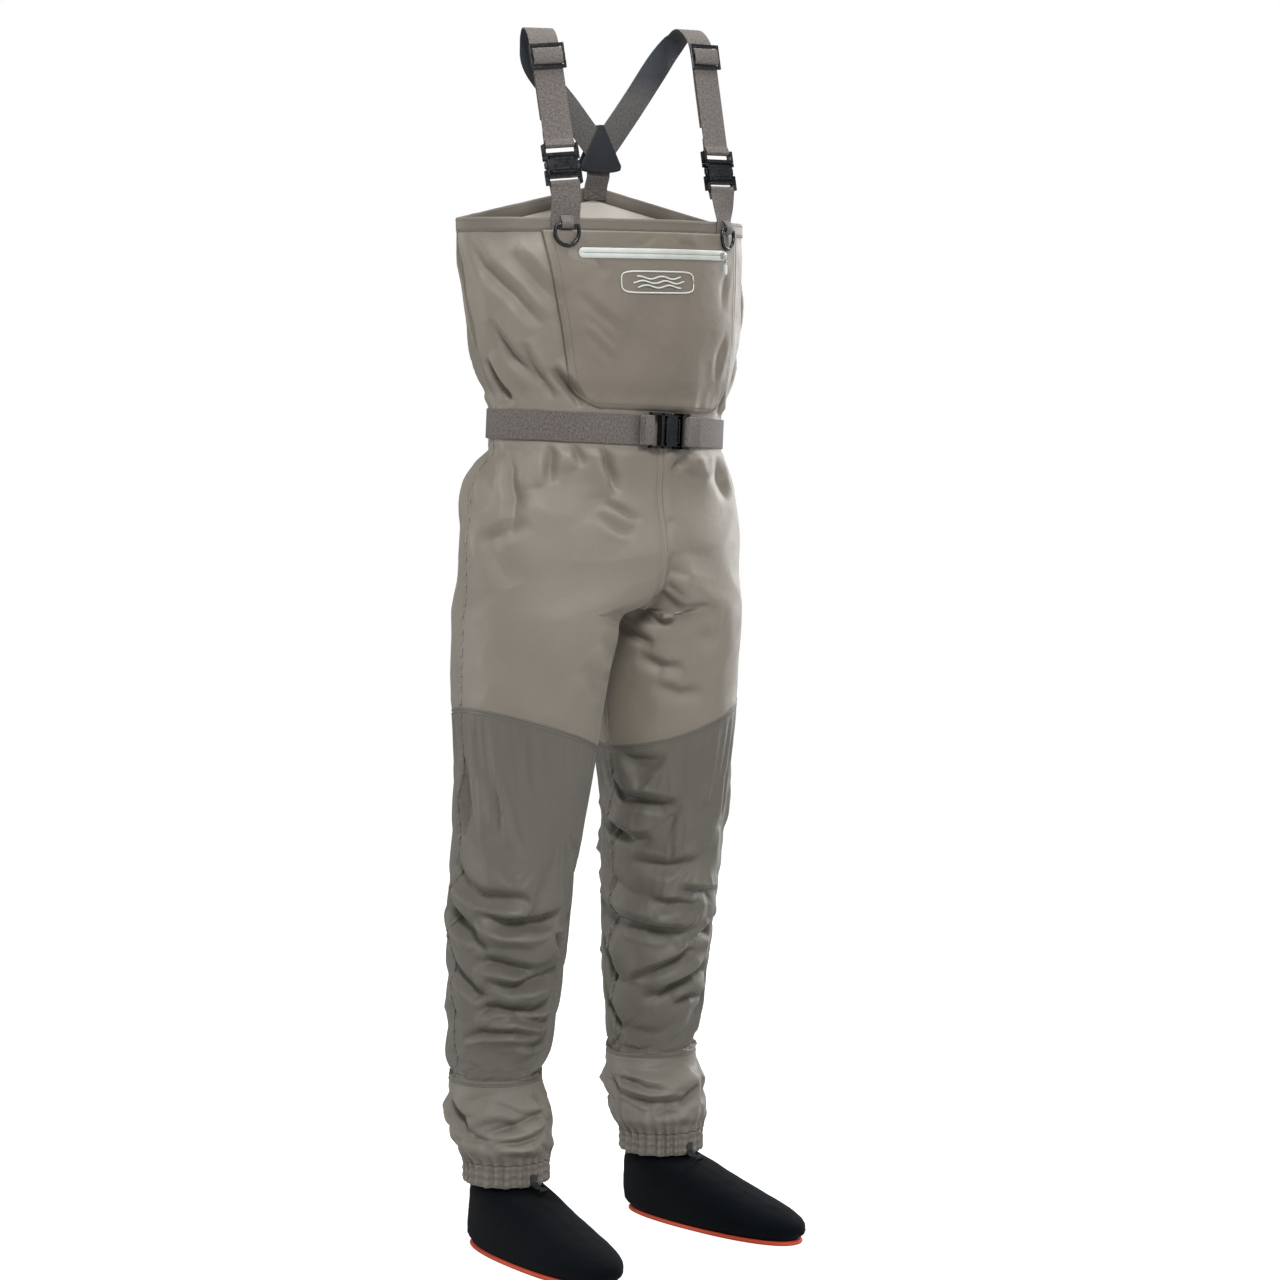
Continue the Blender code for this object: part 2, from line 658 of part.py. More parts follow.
def make_slider(side_name, place):
    """Tri-glide: a frame with a centre bar, and the webbing end sewn round that bar."""
    half = STRAP_WIDTH / 2 + 4 * MM
    inner = STRAP_WIDTH / 2 + 0.6 * MM
    part = add_part(
        f"strap_slider_{side_name}",
        box((-half, -4.4 * MM, -16.5 * MM), (half, -1.3 * MM, 16.5 * MM)),
        PLASTIC,
        place,
    )
    cut(part, (-inner, -0.01, 2.8 * MM), (inner, 0.01, 11.5 * MM))
    cut(part, (-inner, -0.01, -11.5 * MM), (inner, 0.01, -2.8 * MM))
    front = -5.6 * MM
    route = [(-1.6 * MM, 9.9 * MM), (-4.4 * MM, 9.6 * MM), (front, 7.0 * MM), (front - 0.6 * MM, 0)]
    route += [(front, -7.0 * MM), (-4.4 * MM, -9.6 * MM), (-1.6 * MM, -9.9 * MM)]
    flat_loop(f"slider_loop_{side_name}", route, STRAP_WIDTH, WEBBING, place)


def make_strap(side_name, side, hem, run, across):
    """Shoulder strap: up behind the front layer, over the shoulder and down to the back patch."""
    outward = run.cross(across) * -1
    behind = 3.6 * MM
    patch_layer = {"right": 7.4 * MM, "left": 9.3 * MM}[side_name]
    start = hem + run * (BUCKLE_UP + 0.058) - outward * behind
    crown = hem + run * (SLIDER_UP[side_name] + 0.010) - outward * behind
    back = Vector((-outward.x, -outward.y, 0)).normalized()
    knots = [
        start,
        start.lerp(crown, 0.5),
        crown,
        crown + Vector((0, 0, 0.0205)) + back * 0.013,
        crown + Vector((0, 0, 0.0285)) + back * 0.032,
        crown + Vector((-side * 0.004, 0, 0.012)) + back * 0.052,
    ]
    # The run down the back is straight in its middle and lies in the plane of the back patch.
    shoulder_end = Vector((side * 0.104, 0.012, crown.z - 0.018))
    patch_end = Vector((side * 0.008, patch_layer, Y_PATCH_Z + 0.002))
    knots += [shoulder_end, shoulder_end.lerp(patch_end, 0.5), patch_end]
    knots[-2].y = patch_layer
    rear = Vector((0, 1, 0))
    up = Vector((0, 0, 1))
    facing = [outward, outward, outward, outward + up, up, back + up * 0.5, rear, rear, rear]
    path = smooth_path(knots, 4)
    normals = smooth_path(facing, 4)
    ribbon(f"shoulder_strap_{side_name}", path, normals, STRAP_WIDTH, WEBBING)


def make_anchor_webbing(side_name, side, hem, run, across, bar_z):
    """Webbing sewn over the hem, which turns to face the buckle and loops round its bar."""
    outward = run.cross(across) * -1
    buckle = hem + run * BUCKLE_UP
    x = side * STRAP_X[side_name]
    path = []
    normals = []
    for z in (1.3268, 1.336, 1.346):
        level = min(z, HEM_Z)
        yaw = chest_yaw(x, level)
        point = torso_point(level, -acos(x / along(TORSO, level)[0]), 2.2 * MM, z=z)
        path.append(point)
        normals.append(Vector((sin(yaw), -cos(yaw), 0)))
    seam_normal = normals[-1]
    below = buckle + run * (bar_z - 0.014)
    path.append(path[-1].lerp(below, 0.55) + outward * MM)
    normals.append((seam_normal + outward).normalized())
    path.append(buckle + run * (bar_z - 0.006) + outward * 2.0 * MM)
    normals.append(outward)
    for y, z in half_turn(0, bar_z, LOOP_RADIUS, 180, 0):
        path.append(buckle + run * z - outward * y)
        normals.append(outward * -cos(atan2(z - bar_z, y)) + run * sin(atan2(z - bar_z, y)))
    path.append(buckle + run * (bar_z - 0.006) - outward * 2.2 * MM)
    normals.append(-outward)
    path.append(buckle + run * (bar_z - 0.013) - outward * 1.6 * MM)
    normals.append(-outward)
    ribbon(f"strap_anchor_{side_name}", path, normals, STRAP_WIDTH, WEBBING)


def make_back():
    """Y patch in two plates with the strap ends between them, and the webbing down to the hem."""
    half = 0.035
    arc = [(half * cos(a), -0.024 + 0.007 * sin(a)) for a in steps(pi + 0.35, 2 * pi - 0.35, 8)]
    outline = [(0.004, 0.031), (-0.004, 0.031)] + [(-0.034, -0.021)] + arc + [(0.034, -0.021)]
    place = frame_empty("y_patch_frame", (0, 0, Y_PATCH_Z), (1, 0, 0), (0, 0, 1))
    add_part("y_patch_inner", prism(outline, 4.4 * MM, 6.2 * MM), PATCH_LEATHER, place)
    add_part("y_patch_outer", prism(outline, 12.6 * MM, 14.4 * MM), PATCH_LEATHER, place)
    peak = HEM_Z + HEM_PEAK_RISE
    route = [(11.3 * MM, Y_PATCH_Z - 0.006), (11.3 * MM, Y_PATCH_Z - 0.033), (13.0 * MM, peak + 0.007)]
    route += [(16.4 * MM, peak - 0.003), (16.8 * MM, peak - 0.018)]
    centre = frame_empty("back_strap_frame", (0, 0, 0), (1, 0, 0), (0, 0, 1))
    flat_loop("back_strap", route, STRAP_WIDTH, WEBBING, centre)
    tag = frame_empty("hang_loop_frame", (-0.036, 0, 0), (1, 0, 0), (0, 0, 1))
    hang = [(15.0 * MM, peak + 0.002), (14.6 * MM, peak - 0.020), (14.6 * MM, peak - 0.040)]
    hang += [(13.8 * MM, peak - 0.055), (12.0 * MM, peak - 0.056), (11.2 * MM, peak - 0.054)]
    hang += [(11.6 * MM, peak - 0.040), (12.4 * MM, peak - 0.010), (12.8 * MM, peak + 0.001)]
    flat_loop("hang_loop", hang, 0.009, PATCH_LEATHER, tag, 1.0 * MM)


# ---------------------------------------------------------------- rings under the hem
RING_WIRE = 2.0 * MM
RING_BAR_Z = 1.333
RING_OFFSET = 8.6 * MM
RING_HALF = 0.016


def make_ring(side_name, side):
    """D-ring whose straight bar is its hinge, held by a short webbing tab."""
    x = side * STRAP_X[side_name]
    yaw = chest_yaw(x, HEM_Z)
    level = min(RING_BAR_Z, HEM_Z)
    origin = torso_point(level, -acos(x / along(TORSO, level)[0]), RING_OFFSET, z=RING_BAR_Z)
    place = frame_empty(f"ring_frame_{side_name}", origin, (cos(yaw), sin(yaw), 0), (0, 0, 1))
    curve = bpy.data.curves.new(f"d_ring_{side_name}", "CURVE")
    curve.dimensions = "3D"
    curve.bevel_depth = RING_WIRE
    curve.bevel_resolution = 1
    spline = curve.splines.new("POLY")
    arc = [(RING_HALF * cos(a), 0, -0.008 + 0.017 * sin(a)) for a in steps(0, -pi, 10)]
    points = [(-RING_HALF + 0.002, 0, 0), (RING_HALF - 0.002, 0, 0)] + arc
    spline.points.add(len(points) - 1)
    for point, target in zip(spline.points, points):
        point.co = (*target, 1)
    spline.use_cyclic_u = True
    ring = bpy.data.objects.new(f"d_ring_{side_name}", curve)
    ring.data.materials.append(PLASTIC)
    ring.parent = place
    parts.objects.link(ring)

    turn = RING_WIRE + GAP + WEB / 2
    route = [(5.1 * MM, 0.012), (turn + 0.9 * MM, 0.006)]
    route += half_turn(0, 0, turn, 0, -180, 8)
    route += [(-turn + 0.4 * MM, 0.004), (1.2 * MM, 0.0095), (3.4 * MM, 0.012)]
    flat_loop(f"ring_tab_{side_name}", route, 0.016, WEBBING, place)


# ---------------------------------------------------------------- belt
def make_belt():
    gap_half = 0.030
    level = WAIST_Z
    half_width, front = along(TORSO, level)[:2]
    first = -acos((BELT_BUCKLE_X + gap_half) / half_width)
    last = -acos((BELT_BUCKLE_X - gap_half) / half_width) + 2 * pi
    path = []
    normals = []
    for angle in steps(first, last, 44):
        point = torso_point(level, angle, BELT_OFFSET)
        inner = torso_point(level, angle, 0)
        path.append(point)
        normals.append(point - inner)
    # The belt bridges the hollow of the back and sits clear of the cloth above and below.
    ribbon("belt_webbing", path, normals, BELT_WIDTH, WEBBING)

    y = -front - BELT_OFFSET - WEB / 2 - GAP - BUCKLE_DEPTH - 0.4 * MM
    centre = (BELT_BUCKLE_X, y, WAIST_Z + waist_roll(BELT_BUCKLE_X, WAIST_Z))
    place = frame_empty("belt_buckle_frame", centre, (0, 0, 1), (-1, 0, WAIST_ROLL))
    bottom = make_female("belt_buckle_female", BELT_WIDTH, 31 * MM, 13 * MM, place)
    top = make_male("belt_buckle_male", BELT_WIDTH, 20 * MM, place)
    make_prong("belt_prong_upper", BELT_WIDTH, 1, place)
    make_prong("belt_prong_lower", BELT_WIDTH, -1, place)
    bar_z = top - BAR_HEIGHT / 2
    route = [(-1.0 * MM, bar_z + 0.020), (-1.8 * MM, bar_z + 0.008)]
    route += half_turn(0, bar_z, LOOP_RADIUS, 180, 360)
    route += [(1.8 * MM, bar_z + 0.008), (1.2 * MM, bar_z + 0.019)]
    flat_loop("belt_male_loop", route, BELT_WIDTH, WEBBING, place)
    bar_z = bottom + BAR_HEIGHT / 2
    route = [(0.6 * MM, bar_z - 0.024), (-1.6 * MM, bar_z - 0.008)]
    route += half_turn(0, bar_z, LOOP_RADIUS, 180, 0)
    route += [(2.6 * MM, bar_z - 0.006), (3.0 * MM, bar_z - 0.018)]
    flat_loop("belt_female_loop", route, BELT_WIDTH, WEBBING, place)


def make_belt_loop(side_name, side):
    """A strip of shell cloth over the belt, behind the hip."""
    angle = acos(side * BELT_LOOP_X / along(TORSO, WAIST_Z)[0])
    outward = (torso_point(WAIST_Z, angle, 1.0) - torso_point(WAIST_Z, angle)).normalized()
    high = BELT_WIDTH / 2
    over_belt = BELT_OFFSET + WEB / 2 + GAP + 0.6 * MM
    route = [(high + 0.016, 5.5 * MM), (high + 0.007, 4.0 * MM), (high - 0.002, over_belt)]
    route += [(0.0, over_belt), (-high + 0.002, over_belt)]
    path = [torso_point(WAIST_Z, angle, offset, z=WAIST_Z + z) for z, offset in route]
    lower = [(-high - 0.006, 7.0 * MM), (-high - 0.012, 22.0 * MM)]
    path += [torso_point(WAIST_Z, angle, offset, z=WAIST_Z + z) for z, offset in lower]
    ribbon(f"belt_loop_{side_name}", path, [outward] * len(path), 0.016, SHELL_CLOTH, 1.2 * MM)


# ---------------------------------------------------------------- pocket and zip
def pocket_half_width(z):
    """Outline of the pocket: sides lean in, then round into the bottom edge."""
    share = (z - POCKET_BOTTOM_Z) / (POCKET_TOP_Z - POCKET_BOTTOM_Z)
    side = 0.128 + 0.038 * share
    corner = 0.045
    rise = z - POCKET_BOTTOM_Z
    if rise < corner:
        side -= corner - sqrt(corner**2 - (corner - rise) ** 2)
    return side


def make_pocket():
    rows = []
    corner_heights = [0, 0.003, 0.010, 0.020, 0.033, 0.050]
    heights = [POCKET_BOTTOM_Z + h for h in corner_heights] + [1.19, 1.24, 1.29, POCKET_TOP_Z]
    for z in heights:
        half = pocket_half_width(z)
        rows.append([chest_point(x, z, POCKET_OFFSET) for x in steps(-half, half, 18)])
    shell("chest_pocket", rows, POCKET_CLOTH, closed=False)

    rows = []
    for z in (1.249, 1.263, 1.277):
        rows.append([chest_point(x, z, POCKET_OFFSET + 1.2 * MM) for x in steps(-0.070, 0.050, 10)])
    shell("pocket_patch", rows, REFLECTIVE, thickness=0.8 * MM, closed=False)


def zip_circle():
    """Centre y and radius of the arc that the zip follows, a little off the pocket."""
    offset = POCKET_OFFSET + 2.0 * MM
    middle = chest_point(0, ZIP_Z, offset)
    end = chest_point(ZIP_HALF, ZIP_Z, offset)
    sagitta = end.y - middle.y
    radius = (end.x**2 + sagitta**2) / (2 * sagitta)
    return middle.y + radius, radius


def make_zip():
    centre_y, radius = zip_circle()
    reach = ZIP_HALF / radius
    path = []
    normals = []
    for angle in steps(-reach, reach, 16):
        outward = Vector((sin(angle), -cos(angle), 0))
        path.append(Vector((0, centre_y, ZIP_Z)) + outward * radius)
        normals.append(outward)
    ribbon("zip_tape", path, normals, ZIP_HEIGHT, ZIP_TAPE, 1.6 * MM)

    start = ZIP_START_X / radius
    outward = Vector((sin(start), -cos(start), 0))
    axis = frame_empty("zip_axis", (0, centre_y, ZIP_Z), (cos(start), sin(start), 0), (0, 0, 1))
    face = -radius - 0.8 * MM - GAP
    outline = [(-5 * MM, -3.6 * MM), (3.5 * MM, -4.6 * MM), (6 * MM, -2.5 * MM)]
    outline += [(6 * MM, 2.5 * MM), (3.5 * MM, 4.6 * MM), (-5 * MM, 3.6 * MM)]
    add_part("zip_slider", prism(outline, face - 3.0 * MM, face), ZIP_METAL, axis)
    pivot = Vector((0, centre_y, ZIP_Z)) + outward * (radius + 0.8 * MM + GAP + 3.0 * MM + GAP + 1.1 * MM)
    hinge = frame_empty("zip_puller_axis", pivot, (cos(start), sin(start), 0), (0, 0, 1))
    outline = [(-2.2 * MM, 0.9 * MM), (-2.6 * MM, -14 * MM), (-3.4 * MM, -17 * MM), (-3.0 * MM, -25 * MM)]
    outline += [(3.0 * MM, -25 * MM), (3.4 * MM, -17 * MM), (2.6 * MM, -14 * MM), (2.2 * MM, 0.9 * MM)]
    add_part("zip_puller", prism(outline, -1.0 * MM, 1.0 * MM), ZIP_METAL, hinge)


# ---------------------------------------------------------------- build
make_bib()
make_hem()
make_pocket()
make_zip()
make_belt()
make_back()
for side_name, side in SIDES.items():
    make_trousers(side_name, side)
    make_shin(side_name, side)
    make_ankle(side_name, side)
    make_guard(side_name, side)
    make_cuff(side_name, side)
    make_lace_hook(side_name, side)
    make_foot(side_name, side)
    make_shoulder(side_name)
    make_ring(side_name, side)
    make_belt_loop(side_name, side)
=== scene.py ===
"""Looks of the chest waders: cloth, webbing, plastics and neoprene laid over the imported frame.

Metres, +Z up. The wearer faces -Y and their right hand is at -X.
"""

from math import acos, atan2, copysign, cos, hypot, pi, radians, sin, sqrt

import bmesh
import bpy
import numpy as np
from mathutils import Matrix, Vector, noise


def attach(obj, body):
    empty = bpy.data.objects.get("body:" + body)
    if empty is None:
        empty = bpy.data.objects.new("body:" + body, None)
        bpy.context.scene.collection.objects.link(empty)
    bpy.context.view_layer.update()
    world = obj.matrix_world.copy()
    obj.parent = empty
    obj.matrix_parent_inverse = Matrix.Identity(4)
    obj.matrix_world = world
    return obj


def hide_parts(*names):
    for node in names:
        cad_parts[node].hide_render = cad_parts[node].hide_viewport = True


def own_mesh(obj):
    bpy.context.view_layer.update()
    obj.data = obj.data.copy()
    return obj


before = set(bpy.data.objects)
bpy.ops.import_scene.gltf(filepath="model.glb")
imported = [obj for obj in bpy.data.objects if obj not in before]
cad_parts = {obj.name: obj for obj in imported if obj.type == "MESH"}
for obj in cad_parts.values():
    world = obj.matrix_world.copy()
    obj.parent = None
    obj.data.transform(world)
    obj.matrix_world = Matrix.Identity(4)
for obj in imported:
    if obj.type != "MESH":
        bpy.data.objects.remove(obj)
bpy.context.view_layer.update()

MM = 0.001
BODY_SHIFT_Y = 0.03477
SIDES = {"right": -1, "left": 1}
UP = Vector((0, 0, 1))
scene = bpy.context.scene

# ---------------------------------------------------------------- camera
IMAGE_PIXELS = 1280
VIEW_AZIMUTH = radians(-41)
VIEW_ELEVATION = radians(4.9)
VIEW_DISTANCE = 4.5
VIEW_TARGET = Vector((0, BODY_SHIFT_Y, 0.795))
FOCAL_PIXELS = VIEW_DISTANCE / 0.001313
camera_data = bpy.data.cameras.new("camera")
camera_data.lens = 36 * FOCAL_PIXELS / IMAGE_PIXELS
camera_data.shift_x = 36 / IMAGE_PIXELS
camera_data.shift_y = 2 / IMAGE_PIXELS
camera = bpy.data.objects.new("camera", camera_data)
flat = cos(VIEW_ELEVATION)
back = Vector((sin(VIEW_AZIMUTH) * flat, -cos(VIEW_AZIMUTH) * flat, sin(VIEW_ELEVATION)))
camera.location = VIEW_TARGET + back * VIEW_DISTANCE
camera.rotation_euler = back.to_track_quat("Z", "Y").to_euler()
scene.collection.objects.link(camera)
scene.camera = camera

# ---------------------------------------------------------------- the frame's sections
WAIST_Z = 1.074
WAIST_ROLL = 0.055
HEM_Z = 1.343
HEM_PEAK_RISE = 0.047
HEM_BAND = 18 * MM
SHIN_SEAM_Z = 0.225
CROTCH_Z = 0.840
KNEE_SEAM_Z = 0.6875
KNEE_SEAM_TILT = 0.0325
BELT_WIDTH = 0.038
CUFF_TOP_Z = 0.124
CUFF_HEIGHT = 0.031
CUFF_RADIUS = 0.0555
CUFF_Y = 0.0385
ANKLE_X = 0.1366
CENTRE_GAP = 0.0002
# Height, half width, reach to the front and to the back, and the side seam's y.
TORSO = [
    (1.040, 0.181, 0.112, 0.088, 0.000),
    (WAIST_Z, 0.181, 0.112, 0.088, 0.000),
    (1.105, 0.181, 0.112, 0.088, 0.000),
    (1.140, 0.195, 0.116, 0.079, 0.003),
    (1.200, 0.213, 0.117, 0.058, 0.007),
    (1.270, 0.225, 0.113, 0.036, 0.012),
    (1.343, 0.232, 0.106, 0.022, 0.015),
]
# Height, centre x, half width, depth before and behind the centre, and centre y.
LEG = [
    (0.225, 0.1370, 0.0612, 0.0612, 0.0612, 0.060),
    (0.324, 0.1350, 0.0690, 0.0690, 0.0690, 0.056),
    (0.400, 0.1330, 0.0760, 0.0760, 0.0760, 0.048),
    (0.470, 0.1310, 0.0825, 0.0825, 0.0825, 0.040),
    (0.586, 0.1270, 0.0890, 0.0890, 0.0890, 0.026),
    (0.655, 0.1230, 0.0945, 0.0950, 0.0950, 0.018),
    (0.720, 0.1180, 0.0970, 0.0990, 0.1000, 0.014),
    (0.800, 0.1090, 0.1030, 0.1090, 0.1120, 0.010),
    (0.840, 0.1056, 0.1050, 0.1130, 0.1180, 0.008),
    (0.858, 0.0780, 0.1330, 0.1170, 0.1230, 0.006),
    (0.885, 0.0300, 0.1830, 0.1200, 0.1280, 0.003),
    (0.920, 0, 0.2150, 0.1200, 0.1340, 0),
    (1.000, 0, 0.2090, 0.1090, 0.1360, 0),
    (1.026, 0, 0.1960, 0.1110, 0.1180, 0),
    (1.044, 0, 0.1810, 0.1120, 0.0880, 0),
    (WAIST_Z, 0, 0.1810, 0.1120, 0.0880, 0),
]
# Height, radius and centre y.
GUARD = [(0.120, 0.0562, 0.0385), (0.142, 0.0630, 0.0430), (0.183, 0.0665, 0.0530), (0.226, 0.0614, 0.0600)]
# Height, toe, heel, half width and how much the heel is narrower.
SOCK = [
    (0.005, -0.148, 0.143, 0.0455, 0.16),
    (0.014, -0.158, 0.151, 0.0520, 0.15),
    (0.028, -0.156, 0.153, 0.0535, 0.13),
    (0.040, -0.132, 0.152, 0.0520, 0.11),
    (0.052, -0.089, 0.149, 0.0500, 0.09),
    (0.064, -0.046, 0.146, 0.0480, 0.06),
    (0.077, -0.003, 0.142, 0.0465, 0.04),
    (0.089, 0.0385, 0.1360, 0.0435, 0.02),
    (0.122, 0.0390, 0.1345, 0.0450, 0),
    (0.150, 0.0405, 0.1330, 0.0465, 0),
]
FOOT_CENTRE = (0.151, -0.048)
TOE_OUT = radians(5)
ANKLE_SHIFT_X = -0.0085


def around(items, i):
    """The items before i, at i and twice after it, held at the ends."""
    return [items[min(max(i + k, 0), len(items) - 1)] for k in (-1, 0, 1, 2)]


def gentle_slope(before, here, after, k):
    if (here[k] - before[k]) * (after[k] - here[k]) <= 0:
        return 0.0
    return (after[k] - before[k]) / (after[0] - before[0])


def along(stations, height):
    """The values that follow the first in each station, read smoothly at this height."""
    low = 0
    while low < len(stations) - 2 and stations[low + 1][0] < height:
        low += 1
    before, start, end, after = around(stations, low)
    span = end[0] - start[0]
    t = min(max((height - start[0]) / span, 0.0), 1.0)
    values = []
    for k in range(1, len(start)):
        value = (2 * t**3 - 3 * t**2 + 1) * start[k] + (3 * t**2 - 2 * t**3) * end[k]
        value += (t**3 - 2 * t**2 + t) * gentle_slope(before, start, end, k) * span
        value += (t**3 - t**2) * gentle_slope(start, end, after, k) * span
        values.append(value)
    return values


def dense(stations):
    """The stations read at many heights, for looking up whole arrays at once."""
    heights = np.linspace(stations[0][0], stations[-1][0], 800)
    return heights, np.array([along(stations, h) for h in heights])


TORSO_TABLE = dense(TORSO)
LEG_TABLE = dense(LEG)
GUARD_TABLE = dense(GUARD)
SOCK_TABLE = dense(SOCK)


def read(table, z):
    heights, values = table
    return [np.interp(z, heights, column) for column in values.T]


def waist_roll(x, z):
    share = np.minimum(np.abs(z - WAIST_Z) / 0.16, 1.0)
    return -WAIST_ROLL * x * (1 - share**2) ** 2


def stack(x, y, z):
    return np.stack(np.broadcast_arrays(x, y, z), -1)


def torso(angle, height, offset=0.0, z=None):
    """Angle 0 is the wearer's left seam, 90 degrees the back, -90 the front."""
    half, front, behind, seam = read(TORSO_TABLE, np.minimum(height, HEM_Z))
    depth = np.where(np.sin(angle) > 0, behind - seam, front + seam)
    out_x = np.cos(angle) / half
    out_y = np.sin(angle) / depth
    size = np.hypot(out_x, out_y)
    x = half * np.cos(angle) + offset * out_x / size
    y = seam + depth * np.sin(angle) + offset * out_y / size
    z = height if z is None else z
    return stack(x, y + BODY_SHIFT_Y, z + waist_roll(x, z))


def leg(angle, z, side):
    """Angle 0 is the outer side, 90 degrees the back; cut off at the centre seam."""
    centre_x, half, front, behind, centre_y = read(LEG_TABLE, z)
    depth = np.where(np.sin(angle) > 0, behind, front)
    x = side * np.maximum(centre_x + half * np.cos(angle), CENTRE_GAP)
    return stack(x, centre_y + depth * np.sin(angle) + BODY_SHIFT_Y, z + waist_roll(x, z))


def ankle(angle, z, radius, centre_y, side):
    """A round sleeve about the ankle."""
    x = side * (ANKLE_X + radius * np.cos(angle))
    return stack(x, centre_y + BODY_SHIFT_Y + radius * np.sin(angle), z)


def turn_round(columns, side=1):
    """Angles once round a tube, counter-clockwise from above on either leg."""
    return np.linspace(-pi, pi, columns + 1)[None, :-1][:, ::side]


def column_at(degrees, spans, columns, side=1):
    """The column of a grid nearest to an angle, where this many spans go once round."""
    column = round((degrees + 180) / 360 * spans)
    return column if side > 0 else columns - 1 - column


def steps(start, end, count):
    return [start + (end - start) * i / count for i in range(count + 1)]


def smooth_path(points, per_span):
    """Catmull-Rom points through given ones."""
    knots = [Vector(p) for p in points]
    path = []
    for i in range(len(knots) - 1):
        before, start, end, after = around(knots, i)
        for t in steps(0, 1, per_span)[:-1]:
            point = 2 * start + (end - before) * t + (2 * before - 5 * start + 4 * end - after) * t**2
            path.append(0.5 * (point + (3 * start - before - 3 * end + after) * t**3))
    return path + [knots[-1]]


# ---------------------------------------------------------------- materials
class Nodes:
    """A short way to build a procedural material."""

    def __init__(self, name):
        self.material = bpy.data.materials.new(name)
        self.material.use_nodes = True
        self.tree = self.material.node_tree
        self.shader = self.tree.nodes["Principled BSDF"]
        self.place = self.tree.nodes.new("ShaderNodeTexCoord")

    def add(self, kind, inputs=(), **settings):
        node = self.tree.nodes.new(kind)
        for key, value in settings.items():
            setattr(node, key, value)
        for key, value in dict(inputs).items():
            self.join(value, node.inputs[key])
        return node

    def join(self, value, socket):
        if isinstance(value, bpy.types.NodeSocket):
            self.tree.links.new(value, socket)
        else:
            socket.default_value = value

    def set(self, **inputs):
        for key, value in inputs.items():
            self.join(value, self.shader.inputs[key.replace("_", " ")])

    def noise(self, scale, detail=3.0, stretch=(1, 1, 1), coordinates="Object", roughness=0.5):
        mapping = self.add("ShaderNodeMapping", {"Vector": self.place.outputs[coordinates], "Scale": stretch})
        inputs = {"Vector": mapping.outputs[0], "Scale": scale, "Detail": detail, "Roughness": roughness}
        return self.add("ShaderNodeTexNoise", inputs).outputs["Fac"]

    def bands(self, period, direction, coordinates="UV", wobble=0.0):
        """Stripes of this period in metres."""
        inputs = {"Vector": self.place.outputs[coordinates], "Scale": 0.31416 / period, "Distortion": wobble}
        return self.add("ShaderNodeTexWave", inputs, bands_direction=direction).outputs["Fac"]

    def times(self, a, b):
        return self.add("ShaderNodeMath", {0: a, 1: b}, operation="MULTIPLY").outputs[0]

    def span(self, value, low, high, to_low, to_high):
        inputs = {"Value": value, "From Min": low, "From Max": high, "To Min": to_low, "To Max": to_high}
        return self.add("ShaderNodeMapRange", inputs).outputs[0]

    def mix(self, share, first, second):
        return self.add("ShaderNodeMix", {0: share, 6: first, 7: second}, data_type="RGBA").outputs[2]

    def blotches(self, scale, detail, colour, dark, light):
        """The colour, patchily darker and lighter."""
        share = self.span(self.noise(scale, detail), 0.3, 0.7, 0, 1)
        return self.mix(share, scaled(colour, dark), scaled(colour, light))

    def uneven_roughness(self, scale, low, high):
        self.set(Roughness=self.span(self.noise(scale, 3), 0.3, 0.7, low, high))

    def bump(self, layers):
        """Bumps from (height, strength, distance) layers, one over another."""
        under = {}
        for height, strength, distance in layers:
            inputs = {"Height": height, "Strength": strength, "Distance": distance}
            normal = self.add("ShaderNodeBump", {**inputs, **under}).outputs[0]
            under = {"Normal": normal}
        self.set(Normal=normal)

    def ridges(self):
        """About 1 on convex edges and folds, 0 elsewhere: where a surface is painted paler, partly as wear
        and partly as painted highlight.
        """
        pointy = self.add("ShaderNodeNewGeometry").outputs["Pointiness"]
        return self.span(pointy, 0.51, 0.60, 0.0, 1.0)


def rgb(r, g, b):
    """A colour given as display values from 0 to 255."""
    linear = [(v / 255) / 12.92 if v <= 10 else ((v / 255 + 0.055) / 1.055) ** 2.4 for v in (r, g, b)]
    return (*linear, 1.0)


def scaled(colour, k):
    return (colour[0] * k, colour[1] * k, colour[2] * k, 1.0)


def cloth_material(name, colour, roughness=0.54, sheen=0.10):
    """Laminated nylon: a fine plain weave, faint blotches, ridges painted paler as wear and as painted
    highlight, and a satin sheen.
    """
    n = Nodes(name)
    weave = 0.55 * MM
    grain = n.noise(900, 2)
    tone = n.blotches(7, 4, colour, 0.90, 1.08)
    tone = n.mix(n.span(grain, 0.35, 0.65, 0, 0.35), tone, scaled(colour, 0.80))
    # Convex ridges and folds painted paler: partly wear, partly painted highlight.
    tone = n.mix(n.times(n.ridges(), 0.30), tone, scaled(colour, 1.45))
    threads = n.times(n.bands(weave, "Z", "Object"), n.bands(weave, "DIAGONAL", "Object"))
    puckers = n.noise(95, 3, (1, 1, 1.6))
    n.set(Base_Color=tone, Sheen_Weight=sheen, Sheen_Roughness=0.4)
    n.uneven_roughness(40, roughness - 0.05, roughness + 0.09)
    n.bump([(puckers, 0.35, 0.9 * MM), (threads, 0.25, 0.06 * MM), (grain, 0.2, 0.08 * MM)])
    return n.material


